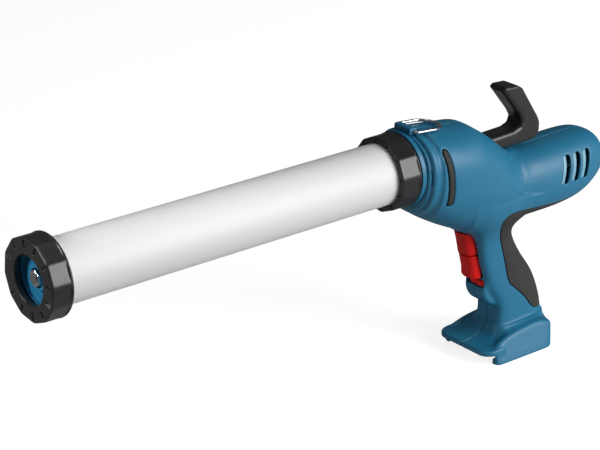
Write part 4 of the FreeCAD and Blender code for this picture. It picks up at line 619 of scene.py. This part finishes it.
@dataclass
class GearHousing:
    """Egg-shaped gear housing along the tube's axis, sinking into the barrel at its rear.

    Each station gives X, half width, top, middle and bottom; each front step gives X and its drop.
    """

    front: float = 386.0
    rear: float = 509.0
    square: float = 2.3
    end_ease: float = 4.0
    socket_radius: float = 31.3
    socket_rear: float = 392.0
    socket_ease: float = 0.5
    front_steps: Points = (
        (386.0, 0.8), (389.0, 0.8), (389.8, 2.2), (391.0, 2.2), (391.8, 0.4), (396.0, 0.4), (397.4, 1.9),
        (401.4, 1.5), (402.6, 0.0))
    stations: Table = (
        (386.0, 36.0, 33.5, 0.0, -39.0), (392.0, 38.6, 34.0, 0.0, -43.0), (400.0, 40.4, 33.4, 0.0, -48.0),
        (415.0, 41.0, 32.0, -2.0, -57.0), (430.0, 41.0, 30.4, -5.0, -65.0), (445.0, 40.2, 29.0, -9.0, -72.0),
        (455.0, 39.2, 27.6, -13.0, -76.0), (463.0, 38.2, 23.0, -17.0, -78.5), (472.0, 37.0, 17.2, -22.0, -80.0),
        (482.0, 35.6, 10.2, -28.0, -80.0), (491.0, 33.6, 3.0, -33.0, -80.0), (500.0, 30.6, -5.0, -38.0, -79.0),
        (509.0, 26.0, -13.0, -42.0, -76.0))

    def distance(self, at: Grid) -> Array:
        """Distance to the housing.

        Args:
            at: the places asked for.

        Returns:
            The distance at each place.
        """
        x, y, z = at
        half, top, middle, bottom = (flowing(self.stations, column, x) for column in (1, 2, 3, 4))
        height = np.where(z > middle, top - middle, middle - bottom)
        round_part = oval_distance(y, z - middle, half, height, self.square)
        return overlap(round_part, np.maximum(self.front - x, x - self.rear), self.end_ease)

    def step_front(self, solid: Array, outside: Array, x: Array) -> Array:
        """Sink the rings round the housing's front into a solid."""
        places, drops = zip(*self.front_steps)
        return np.maximum(solid, outside + np.interp(x, places, drops))

    def open_socket(self, solid: Array, at: Grid) -> Array:
        """Cut the round seat of the tube's socket."""
        socket = np.maximum(np.hypot(at[1], at[2]) - self.socket_radius, at[0] - self.socket_rear)
        return carve(solid, socket, self.socket_ease)


@dataclass
class MotorBarrel:
    """Round motor barrel with a slanted round end, vents and a bare badge recess.

    Each station gives X, radius and height of the middle.
    """

    front: float = 455.0
    rear: float = 630.5
    square: float = 2.4
    end_ease: float = 3.0
    stations: Table = (
        (455.0, 27.2, -45.0), (480.0, 31.4, -45.0), (505.0, 32.9, -45.0), (530.0, 33.2, -45.0), (565.0, 33.2, -44.4),
        (587.0, 32.0, -42.8), (599.0, 30.0, -41.0), (608.0, 27.2, -39.6), (616.0, 23.4, -39.4), (622.0, 19.0, -40.6),
        (627.0, 13.8, -42.6), (630.5, 8.2, -44.4))
    vents: int = 3
    vent_top: Place = (566.0, -25.6)
    vent_bottom: Place = (561.4, -46.4)
    vent_pitch: float = 13.0
    vent_radius: float = 2.7
    vent_inner: float = 18.0
    vent_ease: float = 0.6
    louvre_length: float = 25.0
    louvre_rise: float = 0.6
    louvre_half_width: float = 2.4
    louvre_shift: float = 5.3
    louvre_ease: float = 1.0
    louvre_proud: float = 0.5
    louvre_sunk: float = 1.0
    badge_centre: Place = (519.0, -31.0)
    badge_half: Place = (36.0, 18.5)
    badge_slope: float = 0.2
    badge_depth: float = 1.1
    badge_edge: float = 1.4
    badge_fade_shares: Tuple[float, float, float] = (0.75, -0.05, -0.02)
    badge_deepest_share: float = 1.6

    def distance(self, at: Grid) -> Array:
        """Distance to the barrel.

        Args:
            at: the places asked for.

        Returns:
            The distance at each place.
        """
        x, y, z = at
        radius = flowing(self.stations, 1, x)
        middle = flowing(self.stations, 2, x)
        slope = np.gradient(radius[:, 0, 0], x[:, 0, 0])[:, None, None]
        round_part = oval_distance(y, z - middle, radius, radius, self.square) / np.sqrt(1.0 + slope ** 2)
        return overlap(round_part, np.maximum(self.front - x, x - self.rear), self.end_ease)

    def cut_vents(self, solid: Array, at: Grid) -> Array:
        """Cut the row of vents on both sides.

        Args:
            solid: the field that is cut.
            at: its places.

        Returns:
            The cut field.
        """
        x, y, z = at
        for number in range(self.vents):
            line = [(place + number * self.vent_pitch, height) for place, height in (self.vent_top, self.vent_bottom)]
            vent = np.maximum(path_distance(x, z, line, self.vent_radius), self.vent_inner - np.abs(y))
            solid = carve(solid, vent, self.vent_ease)
        return solid

    def painted_highlight_louvres(self, outside: Array, at: Grid) -> Array:
        """Slats, one in front of each vent, painted pale as a highlight: their colour stands in for the light caught
        on the vents' lead-in faces.

        Args:
            outside: the body's outside.
            at: its places.

        Returns:
            The field of all slats.
        """
        x, _, z = at
        top, bottom = self.vent_top, self.vent_bottom
        tall = np.abs(z - (top[1] + bottom[1]) / 2 - self.louvre_rise) - self.louvre_length / 2
        slats = []
        for number in range(self.vents):
            middle = bottom[0] + number * self.vent_pitch - self.louvre_shift
            lean = middle + (z - bottom[1]) * (top[0] - bottom[0]) / (top[1] - bottom[1])
            slats.append(overlap(np.abs(x - lean) - self.louvre_half_width, tall, self.louvre_ease))
        layer = np.maximum(outside - self.louvre_proud, -(outside + self.louvre_sunk))
        return overlap(np.min(slats, axis=0), layer, self.louvre_proud)

    def sink_badge(self, solid: Array, outside: Array, at: Grid) -> Array:
        """Sink the bare badge place into a solid as a soft dent.

        Args:
            solid: the field that is cut.
            outside: the body's outside.
            at: their places.

        Returns:
            The cut field.
        """
        aside, above = at[0] - self.badge_centre[0], at[2] - self.badge_centre[1]
        badge = oval_distance(aside, above + self.badge_slope * aside, *self.badge_half)
        start, along, up = self.badge_fade_shares
        depth = self.badge_depth * np.clip(start + along * aside + up * above, 0.0, self.badge_deepest_share)
        return np.maximum(solid, outside + depth * np.clip(-badge / self.badge_edge, 0.0, 1.0))


@dataclass
class Handle:
    """Leaning handle, flatter in front than behind, with its collar and the round nose that holds the lock slide.

    Each station gives Z, the middle's X, half length and half width.
    """

    top: float = -60.0
    bottom: float = -192.0
    front_square: float = 6.0
    rear_square: float = 2.2
    end_ease: float = 2.0
    stations: Table = (
        (-192.0, 528.2, 34.2, 20.0), (-179.0, 529.0, 32.0, 18.8), (-159.6, 526.2, 29.7, 18.5),
        (-139.0, 515.7, 31.2, 18.5), (-115.0, 502.5, 27.3, 18.8), (-98.0, 495.5, 24.5, 19.3),
        (-80.0, 490.8, 23.3, 21.0), (-60.0, 490.0, 27.0, 26.0))
    collar_thickness: float = 1.6
    collar_top: float = -181.0
    collar_bottom: float = -194.0
    collar_ease: float = 1.5
    nose_centre: Place = (500.0, -140.0)
    nose_radius: float = 21.0
    nose_half_width: float = 13.2
    nose_round: float = 3.5

    def distance(self, at: Grid) -> Array:
        """Distance to the bare handle.

        Args:
            at: the places asked for.

        Returns:
            The distance at each place.
        """
        x, y, z = at
        middle, half_length, half_width = (flowing(self.stations, column, z) for column in (1, 2, 3))
        square = np.where(x < middle, self.front_square, self.rear_square)
        bar = oval_distance(x - middle, y, half_length, half_width, square)
        return overlap(bar, np.maximum(z - self.top, self.bottom - z), self.end_ease)

    def collar(self, bar: Array, z: Array) -> Array:
        """The thicker band above the foot, from the bare handle."""
        band = np.maximum(z - self.collar_top, self.collar_bottom - z)
        return overlap(bar - self.collar_thickness, band, self.collar_ease)

    def nose(self, at: Grid) -> Array:
        """Distance to the round nose.

        Args:
            at: the places asked for.

        Returns:
            The distance at each place.
        """
        x, y, z = at
        edge = self.nose_round
        across = np.hypot(x - self.nose_centre[0], z - self.nose_centre[1]) - (self.nose_radius - edge)
        wide = np.abs(y) - (self.nose_half_width - edge)
        outside = np.hypot(np.maximum(across, 0.0), np.maximum(wide, 0.0))
        return outside + np.minimum(np.maximum(across, wide), 0.0) - edge


@dataclass
class BatteryFoot:
    """Battery foot with leaning flanks, a bowed rear, a dished top with a raised strip, and a lip in front.

    Each row of the top and the dish gives X and height; a steepness turns a height into a distance.
    """

    front: float = 477.0
    bottom: float = -209.0
    half_width: float = 38.0
    top_half_width: float = 29.0
    height: float = 29.5
    bow_centre: float = 512.5
    bow_radius: float = 50.0
    bow_ease: float = 4.0
    top: Table = (
        (472.5, -198.0), (477.0, -194.4), (484.5, -190.2), (496.0, -186.2), (508.0, -184.0), (520.5, -182.8),
        (538.4, -182.2), (548.0, -184.4), (562.5, -191.0))
    top_steepness: float = 0.92
    top_ease: float = 3.5
    bottom_ease: float = 1.0
    dish: Table = ((460.0, -194.0), (474.0, -193.6), (486.0, -192.0), (495.0, -188.0), (502.0, -180.0))
    dish_steepness: float = 0.9
    dish_wall: float = 5.5
    dish_rear: float = 503.0
    dish_ease: float = 3.0
    strip_rear: float = 501.0
    strip_half_width: float = 12.2
    strip_flare: float = 0.40
    strip_edge: float = 0.8
    strip_height: float = 1.1
    lip_centre: Place = (477.5, 23.0)
    lip_radius: float = 12.0
    lip_half_width: float = 35.5
    lip_rear: float = 488.0
    lip_top: float = -193.8
    lip_bottom: float = -199.2
    lip_ease: float = 1.6
    lip_blend: float = 2.5

    def distance(self, at: Grid) -> Array:
        """Distance to the foot.

        Args:
            at: the places asked for.

        Returns:
            The distance at each place.
        """
        x, y, z = at
        across = np.abs(y)
        lean = (self.half_width - self.top_half_width) / self.height
        flank = (across - self.half_width + lean * (z - self.bottom)) / math.hypot(1.0, lean)
        upper = (z - flowing(self.top, 1, x)) * self.top_steepness
        rear = np.hypot(x - self.bow_centre, y) - self.bow_radius
        sides = overlap(np.maximum(flank, self.front - x), rear, self.bow_ease)
        block = overlap(overlap(sides, upper, self.top_ease), self.bottom - z, self.bottom_ease)
        strip = self.strip_half_width + self.strip_flare * (self.strip_rear - x) - across
        raised = self.strip_height * np.clip(strip / self.strip_edge + 0.5, 0.0, 1.0)
        sunk = (flowing(self.dish, 1, x) + raised - z) * self.dish_steepness
        hollow = np.maximum(np.maximum(flank + self.dish_wall, sunk), x - self.dish_rear)
        return union(carve(block, hollow, self.dish_ease), self.lip(at), self.lip_blend)

    def lip(self, at: Grid) -> Array:
        """Distance to the thin lip in front.

        Args:
            at: the places asked for.

        Returns:
            The distance at each place.
        """
        x, y, z = at
        across = np.abs(y)
        beside, before = np.maximum(across - self.lip_centre[1], 0.0), np.maximum(self.lip_centre[0] - x, 0.0)
        plan = np.maximum(np.hypot(beside, before) - self.lip_radius, across - self.lip_half_width)
        plate = np.maximum(z - self.lip_top, self.lip_bottom - z)
        return overlap(np.maximum(plan, x - self.lip_rear), plate, self.lip_ease)


@dataclass(frozen=True)
class Mouth:
    """A box-shaped opening of the body with round edges."""

    name: str
    low: Corner
    high: Corner
    corner: float
    ease: float


@dataclass
class Body:
    """The blue two-part body with its soft grip, as one blended form split down its middle."""

    housing: GearHousing = field(default_factory=GearHousing)
    barrel: MotorBarrel = field(default_factory=MotorBarrel)
    handle: Handle = field(default_factory=Handle)
    foot: BatteryFoot = field(default_factory=BatteryFoot)
    step: float = 1.0
    low: Corner = (382.0, -45.0, -213.0)
    high: Corner = (642.0, 45.0, 40.0)
    seam: float = 0.05
    seam_margin: float = 1.5
    wall: float = 3.2
    barrel_blend: float = 12.0
    handle_blend: float = 17.0
    nose_blend: float = 4.0
    collar_blend: float = 1.2
    foot_blend: float = 6.0
    side_slot: Points = ((406.8, 18.2), (408.3, 7.6), (410.2, -4.4), (411.5, -16.9), (412.4, -28.6))
    side_slot_radius: float = 3.8
    side_slot_inner: float = 28.0
    side_slot_ease: float = 0.5
    inlay_shift: float = 0.9
    inlay_top: float = 0.5
    inlay_bottom: float = 4.5
    inlay_inner: float = 28.5
    inlay_ease: float = 0.8
    screws: Points = ((399.9, 26.8), (461.7, 15.5), (399.4, -34.0), (606.4, -41.2), (511.7, -88.6), (541.0, -158.0),
                      (540.5, -186.0))
    well_radius: float = 3.3
    well_inner: float = 7.0
    well_ease: float = 0.5
    grip_thickness: float = 1.5
    grip_groove: float = 0.35
    grip_steps: int = 8
    grip_outline: Points = (
        (579.0, -82.0), (578.0, -72.5), (573.0, -68.9), (556.0, -68.0), (541.5, -66.9), (528.0, -65.4), (513.3, -63.2),
        (499.3, -60.9), (490.5, -61.2), (485.4, -64.4), (484.0, -69.5), (486.2, -77.0), (491.0, -87.5),
        (496.8, -104.5), (500.9, -118.0), (504.3, -131.0), (508.6, -140.0), (518.8, -149.6), (529.8, -160.8),
        (536.5, -169.5), (546.0, -175.5), (569.0, -176.5), (592.0, -172.0), (596.0, -120.0), (594.0, -92.0))
    mouths: Sequence[Mouth] = (
        Mouth("hook_exit", (477.5, -10.9, -7.2), (520.0, 10.9, 30.0), 1.0, 1.5),
        Mouth("rack_groove", (477.5, -6.6, -10.6), (520.0, 6.6, 8.0), 0.3, 0.3),
        Mouth("trigger_mouth", (440.0, -10.3, -129.2), (486.0, 10.3, -79.8), 1.0, 1.2),
        Mouth("lock_slot", (470.0, -11.6, -139.3), (489.6, 11.6, -131.7), 0.6, 0.8),
        Mouth("rail_grooves", (450.0, -33.0, -203.0), (544.5, 33.0, -199.2), 0.4, 0.4),
        Mouth("battery_bay", (450.0, -30.0, -220.0), (544.5, 30.0, -199.2), 0.4, 0.4),
        Mouth("terminal_opening", (502.9, -13.6, -200.0), (533.1, 13.6, -180.0), 0.4, 0.4))

    def outer(self, at: Grid) -> Tuple[Array, Array]:
        """Blend the sub-forms into one.

        Args:
            at: the places asked for.

        Returns:
            The whole outside, and the part of it that is hollow inside.
        """
        hull = union(self.housing.distance(at), self.barrel.distance(at), self.barrel_blend)
        bar = self.handle.distance(at)
        hollow = union(hull, bar, self.handle_blend)
        whole = union(hollow, self.handle.nose(at), self.nose_blend)
        whole = union(whole, self.handle.collar(bar, at[2]), self.collar_blend)
        return union(whole, self.foot.distance(at), self.foot_blend), hollow

    def openings(self, solid: Array, outside: Array, at: Grid) -> Array:
        """Cut the slots, vents, badge recess, front rings and mouths.

        Args:
            solid: the shell's field.
            outside: the body's outside.
            at: their places.

        Returns:
            The cut field.
        """
        slot = path_distance(at[0], at[2], self.side_slot, self.side_slot_radius)
        solid = carve(solid, np.maximum(slot, self.side_slot_inner - np.abs(at[1])), self.side_slot_ease)
        solid = self.barrel.cut_vents(solid, at)
        solid = self.barrel.sink_badge(solid, outside, at)
        solid = self.housing.step_front(solid, outside, at[0])
        solid = self.housing.open_socket(solid, at)
        for mouth in self.mouths:
            solid = carve(solid, box_distance(at, mouth.low, mouth.high, mouth.corner), mouth.ease)
            LOG.info("opening %s", mouth.name)
        return solid

    def inlay(self, outside: Array, at: Grid) -> Array:
        """Dark strip that lies in the side slot.

        Args:
            outside: the body's outside.
            at: its places.

        Returns:
            The strip's field on both sides.
        """
        x, y, z = at
        radius = self.side_slot_radius - self.inlay_shift
        strip = path_distance(x - self.inlay_shift, z, self.side_slot, radius)
        layer = np.maximum(outside + self.inlay_top, -(outside + self.inlay_bottom))
        return np.maximum(overlap(strip, layer, self.inlay_ease), self.inlay_inner - np.abs(y))

    def build(self, side: Side, book: FinishBook) -> None:
        """Make one shell with its grip, its slats painted pale as a highlight, and its inlay.

        Args:
            side: which half.
            book: the finishes.
        """
        skin = Skin(self.step)
        low, high = self.low, self.high
        if side is Side.LEFT:
            high = (high[0], self.seam_margin, high[2])
        else:
            low = (low[0], -self.seam_margin, low[2])
        at = skin.grid(low, high)
        outside, hollow = self.outer(at)
        region = outline_distance(at, smooth_outline(self.grip_outline, self.grip_steps))
        grip = np.maximum(outside, -(outside + self.grip_thickness))
        shell = self.openings(np.maximum(outside, -(hollow + self.wall)), outside, at)
        recess = np.maximum(region - self.grip_groove, -(outside + self.grip_thickness))
        shell = np.maximum(shell, -recess)
        if side is Side.RIGHT:
            for place_x, place_z in self.screws:
                well = np.hypot(at[0] - place_x, at[2] - place_z) - self.well_radius
                well = np.maximum(well, self.well_inner - at[1])
                shell = carve(shell, well, self.well_ease)
                grip = np.maximum(grip, -well)
        half = side.value * -at[1] + self.seam
        name = side.name.lower()
        # The slats take the pale painted-highlight finish in place of the body's blue.
        for part, values, slot, node, finish in (
                ("shell", shell, "body_blue", f"{name}_shell", ""),
                ("grip", np.maximum(grip, region), "soft_grip", f"soft_grip_{name}", ""),
                ("painted_highlight_louvres", self.barrel.painted_highlight_louvres(outside, at), "body_blue", "", "louvre_painted_highlight"),
                ("inlay", self.inlay(outside, at), "soft_grip", "", "")):
            piece = skin.mesh(f"{name}_{part}_skin", np.maximum(values, half), low)
            finish_skin(piece, book, "body", slot, node, finish)


@dataclass
class Hook:
    """The black pull hook with its soft round inner edges, drawn in shares of its reach and height."""

    step: float = 0.8
    low: Corner = (482.0, -12.0, -9.0)
    high: Corner = (548.0, 12.0, 56.5)
    corner: Place = (484.5, -6.3)
    reach: float = 61.0
    height: float = 57.8
    half_width: float = 10.6
    outer_edge: float = 2.6
    inner_edge: float = 5.0
    outer_shares: Points = (
        (0.0, 0.0), (0.87, 0.0), (0.975, 0.045), (1.01, 0.15), (1.01, 0.27), (0.97, 0.37), (0.63, 0.92),
        (0.53, 0.985), (0.30, 1.0))
    inner_shares: Points = (
        (0.23, 0.945), (0.57, 0.50), (0.635, 0.38), (0.60, 0.29), (0.48, 0.245), (0.0, 0.23))
    far_shares: Points = ((-0.6, 0.20), (-0.6, -1.0), (2.0, -1.0), (2.0, 2.0), (-0.3, 1.64))

    def points(self, shares: Points) -> List[Place]:
        """Places in X and Z from shares of the hook's reach and height."""
        return [(self.corner[0] + u * self.reach, self.corner[1] + v * self.height) for u, v in shares]

    def build(self, book: FinishBook) -> None:
        """Make the hook over its solid.

        Args:
            book: the finishes.
        """
        skin = Skin(self.step)
        at = skin.grid(self.low, self.high)
        outline = outline_distance(at, self.points((*self.outer_shares, *self.inner_shares)))
        inside = outline_distance(at, self.points((*self.inner_shares, *self.far_shares)))
        flank = np.abs(at[1]) - self.half_width
        solid = np.maximum(overlap(outline, flank, self.outer_edge), overlap(inside, flank, self.inner_edge))
        finish_skin(skin.mesh("pull_hook_skin", solid, self.low), book, "rod", "black_plastic", "pull_hook")


@dataclass
class FacetedRing:
    """Black ring with twelve flats and a thin round rim behind them."""

    node: str
    body: str
    front: float
    length: float
    radius: float
    lip: float
    lip_radius: float
    bore_radius: float
    step: float = 0.7
    margin: float = 2.0
    facets: int = 12
    flat_depth: float = 0.9
    facet_turn: float = math.radians(7.0)
    corner_ease: float = 0.4
    rim: float = 2.4
    edge: float = 1.4
    lip_ease: float = 0.8
    bore_ease: float = 0.4
    notch_inset: float = 2.2
    notch_length: float = 7.0
    notch_half_width: float = 1.2
    notch_depth: float = 1.6
    notch_ease: float = 0.4

    def build(self, book: FinishBook) -> None:
        """Make the ring over its solid.

        Args:
            book: the finishes.
        """
        skin = Skin(self.step)
        reach = self.radius + self.margin
        low = (self.front - self.margin, -reach, -reach)
        x, y, z = skin.grid(low, (self.front + self.length + self.margin, reach, reach))
        round_part = np.hypot(y, z)
        along = np.abs(x - self.front - self.length / 2) - self.length / 2
        turn = 2 * math.pi / self.facets
        angles = [turn * k + self.facet_turn for k in range(self.facets)]
        flats = np.max([y * math.cos(angle) + z * math.sin(angle) for angle in angles], axis=0)
        in_front = x - self.front - self.length + self.rim
        sides = np.minimum(np.maximum(flats - self.radius + self.flat_depth, in_front), -in_front)
        sides = overlap(sides, round_part - self.radius, self.corner_ease)
        solid = overlap(sides, along, self.edge)
        solid = carve(solid, round_part - self.lip_radius, self.lip_ease)
        bore = np.maximum(round_part - self.bore_radius, self.front + self.lip - x)
        solid = carve(solid, bore, self.bore_ease)
        middle = self.radius - self.notch_inset - self.notch_length / 2
        for angle in angles:
            cosine, sine = math.cos(angle + turn / 2), math.sin(angle + turn / 2)
            out, side = y * cosine + z * sine, np.abs(z * cosine - y * sine)
            notch = np.maximum(np.abs(out - middle) - self.notch_length / 2, side - self.notch_half_width)
            solid = carve(solid, np.maximum(notch, x - self.front - self.notch_depth), self.notch_ease)
        finish_skin(skin.mesh(f"{self.node}_skin", solid, low), book, self.body, "black_plastic", self.node)


@dataclass
class Trigger:
    """One red sliding piece, round in front, with its stem, drawn in shares of its depth and height."""

    node: str
    body: str
    corner: Place
    depth: float
    height: float
    stem_height: float
    front_shares: Points
    rear_shares: Points
    step: float = 0.6
    margin: float = 2.0
    grid_half_width: float = 12.0
    half_width: float = 9.9
    side_edge: float = 1.0
    front_edge: float = 9.0
    face_splay: float = 10.0
    face_rise: float = 30.0
    face_reach: float = 90.0
    stem_radius: float = 2.8
    stem_end: float = 491.3
    stem_margin: float = 1.5
    stem_root_share: float = 0.9
    stem_ease: float = 0.3

    def build(self, book: FinishBook) -> None:
        """Make the piece over its solid.

        Args:
            book: the finishes.
        """
        skin = Skin(self.step)
        start, top = self.corner
        low = (start - self.margin, -self.grid_half_width, top - self.height - self.margin)
        at = skin.grid(low, (self.stem_end + self.stem_margin, self.grid_half_width, top + self.margin))
        x, y, z = at
        places = [(start + u * self.depth, top - v * self.height) for u, v in (*self.front_shares, *self.rear_shares)]
        edge = places[:len(self.front_shares)]
        (first_x, first_z), (last_x, last_z) = edge[0], edge[-1]
        below, above = last_z - self.face_rise, first_z + self.face_rise
        behind = first_x + self.face_reach
        far = [(last_x + self.face_splay, below), (behind, below), (behind, above), (first_x - self.face_splay, above)]
        flank = np.abs(y) - self.half_width
        solid = np.maximum(overlap(outline_distance(at, places), flank, self.side_edge),
                           overlap(outline_distance(at, edge + far), flank, self.front_edge))
        stem = np.hypot(y, z - self.stem_height) - self.stem_radius
        root = start + self.depth * self.stem_root_share
        solid = union(solid, np.maximum(stem, np.maximum(root - x, x - self.stem_end)), self.stem_ease)
        finish_skin(skin.mesh(f"{self.node}_skin", solid, low), book, self.body, "trigger_red", self.node)


@dataclass
class LockSlide:
    """Small red slide with round edges in the nose under the trigger."""

    step: float = 0.5
    margin: float = 1.5
    low: Corner = (480.0, -11.2, -139.0)
    high: Corner = (489.0, 7.2, -132.0)
    edge: float = 2.4

    def build(self, book: FinishBook) -> None:
        """Make the slide over its solid.

        Args:
            book: the finishes.
        """
        skin = Skin(self.step)
        start = tuple(place - self.margin for place in self.low)
        at = skin.grid(start, tuple(place + self.margin for place in self.high))
        solid = box_distance(at, self.low, self.high, self.edge)
        finish_skin(skin.mesh("lock_slide_skin", solid, start), book, "lock", "trigger_red", "lock_slide")


@dataclass
class CarriedNodes:
    """The solids that stay as they are and only get their finishes."""

    darker: Dict[str, str] = field(default_factory=lambda: {"hook_bolt": "dark_steel", "hook_nut": "dark_steel"})

    def dress(self, book: FinishBook) -> None:
        """Give every solid the material of its slot.

        Args:
            book: the finishes.
        """
        for entry in frame["record"]["subparts"]:
            piece = frame["nodes"][entry["node"]]
            book.dress(piece, self.darker.get(entry["node"], entry["material_slot"]))
            LOG.info("solid %s: %s", entry["node"], entry["material_slot"])


@dataclass(frozen=True)
class Lamp:
    """One soft square lamp; places and size in metres, power in watts, spread in degrees."""

    name: str
    place: Corner
    target: Corner
    size: float
    power: float
    spread: float = 180.0

    def hang(self) -> None:
        """Put the lamp into the scene."""
        data = bpy.data.lights.new(self.name, "AREA")
        data.shape = "SQUARE"
        data.size = self.size
        data.energy = self.power
        data.spread = math.radians(self.spread)
        lamp = bpy.data.objects.new(self.name, data)
        lamp.location = self.place
        lamp.rotation_mode = "QUATERNION"
        lamp.rotation_quaternion = (Vector(self.target) - Vector(self.place)).to_track_quat("-Z", "Y")
        bpy.context.scene.collection.objects.link(lamp)


@dataclass
class Studio:
    """Camera, floor and soft lights."""

    camera_place: Corner = (-831.3, -1372.8, 715.2)
    azimuth: float = -38.794
    elevation: float = 22.784
    lens: float = 134.11
    sensor: float = 36.0
    clip: Place = (0.05, 50.0)
    floor_size: float = 12.0
    floor_middle: float = 0.4
    floor_height: float = -209.0
    floor_tone: float = 0.6
    floor_roughness: float = 0.9
    floor_specular: float = 0.1
    floor_glow: float = 0.82
    surround: float = 0.07
    backdrop: float = 1.0
    lamps: Sequence[Lamp] = (
        Lamp("key_lamp", (1.45, -1.9, 0.8), (0.32, 0.0, -0.05), 1.5, 57.0),
        Lamp("top_lamp", (0.6, 0.5, 2.2), (0.32, 0.0, -0.05), 1.6, 2.6),
        Lamp("tube_lamp", (0.08, -0.15, 0.75), (0.12, 0.0, 0.03), 0.3, 0.15, 45.0),
        Lamp("cap_lamp", (-0.3, 0.1, 0.16), (0.0, 0.0, 0.0), 0.08, 0.07, 40.0))

    def camera(self) -> None:
        """Put the camera where the photograph was taken from."""
        data = bpy.data.cameras.new("camera")
        data.lens = self.lens
        data.sensor_width = self.sensor
        data.sensor_fit = "HORIZONTAL"
        data.clip_start, data.clip_end = self.clip
        eye = bpy.data.objects.new("camera", data)
        eye.location = Vector(self.camera_place) * MM
        turn, rise = math.radians(self.azimuth), math.radians(self.elevation)
        back = Vector((math.sin(turn) * math.cos(rise), -math.cos(turn) * math.cos(rise), math.sin(rise)))
        eye.rotation_mode = "QUATERNION"
        eye.rotation_quaternion = (-back).to_track_quat("-Z", "Y")
        bpy.context.scene.collection.objects.link(eye)
        bpy.context.scene.camera = eye

    def world(self) -> None:
        """Dim surround for the light, plain white for the camera."""
        world = bpy.data.worlds.new("surround")
        bpy.context.scene.world = world
        world.use_nodes = True
        tree = world.node_tree
        tree.nodes.clear()
        path = tree.nodes.new("ShaderNodeLightPath")
        white = (1.0, 1.0, 1.0, 1.0)
        plain = add_node(tree, "ShaderNodeBackground", {}, {"Color": white, "Strength": self.surround})
        seen = add_node(tree, "ShaderNodeBackground", {}, {"Color": white, "Strength": self.backdrop})
        mixed = add_node(tree, "ShaderNodeMixShader", {
            "Fac": path.outputs["Is Camera Ray"], 1: plain.outputs["Background"], 2: seen.outputs["Background"]}, {})
        add_node(tree, "ShaderNodeOutputWorld", {"Surface": mixed.outputs["Shader"]}, {})

    def floor(self) -> None:
        """Plain white floor that keeps the soft shadow of the tool."""
        half = self.floor_size / 2
        corners = [(-half, -half, 0.0), (half, -half, 0.0), (half, half, 0.0), (-half, half, 0.0)]
        mesh = bpy.data.meshes.new("floor")
        mesh.from_pydata(corners, [], [(0, 1, 2, 3)])
        floor = bpy.data.objects.new("floor", mesh)
        floor.location = (self.floor_middle, 0.0, self.floor_height * MM)
        bpy.context.scene.collection.objects.link(floor)
        material = bpy.data.materials.new("floor_white")
        material.use_nodes = True
        tree = material.node_tree
        shader = tree.nodes["Principled BSDF"]
        shader.inputs["Base Color"].default_value = (self.floor_tone, self.floor_tone, self.floor_tone, 1.0)
        shader.inputs["Roughness"].default_value = self.floor_roughness
        shader.inputs["Specular IOR Level"].default_value = self.floor_specular
        shader.inputs["Emission Color"].default_value = (1.0, 1.0, 1.0, 1.0)
        path = tree.nodes.new("ShaderNodeLightPath")
        glow = add_node(tree, "ShaderNodeMath", {0: path.outputs["Is Camera Ray"]},
                        {"operation": "MULTIPLY", 1: self.floor_glow})
        tree.links.new(glow.outputs["Value"], shader.inputs["Emission Strength"])
        floor.data.materials.append(material)

    def build(self) -> None:
        """Set up the whole studio."""
        bpy.context.scene.view_settings.view_transform = "Standard"
        self.camera()
        for lamp in self.lamps:
            lamp.hang()
        self.world()
        self.floor()


def main() -> None:
    """Build every sub-assembly in order."""
    logging.basicConfig(level=logging.INFO)
    book = FinishBook()
    CarriedNodes().dress(book)
    body = Body()
    for side in Side:
        body.build(side, book)
    Hook().build(book)
    FacetedRing("front_cap", "cap", front=0.0, length=20.0, radius=35.8, lip=4.5, lip_radius=21.0,
                bore_radius=28.3).build(book)
    FacetedRing("rear_union_nut", "union_nut", front=359.3, length=22.0, radius=34.2, lip=4.0, lip_radius=28.4,
                bore_radius=30.6).build(book)
    Trigger("safety_trigger", "safety", corner=(456.5, -80.4), depth=19.5, height=24.0, stem_height=-96.5,
            front_shares=((0.0, 0.0), (0.14, 0.38), (0.23, 0.70), (0.30, 0.97)),
            rear_shares=((1.0, 0.97), (0.92, 0.0))).build(book)
    Trigger("trigger", "trigger", corner=(463.0, -105.2), depth=16.0, height=23.4, stem_height=-116.0,
            front_shares=((0.04, 0.0), (0.12, 0.25), (0.25, 0.60), (0.28, 0.92), (0.38, 1.0)),
            rear_shares=((1.0, 1.0), (0.97, 0.0))).build(book)
    LockSlide().build(book)
    Studio().build()


if __name__ == "__main__":
    main()
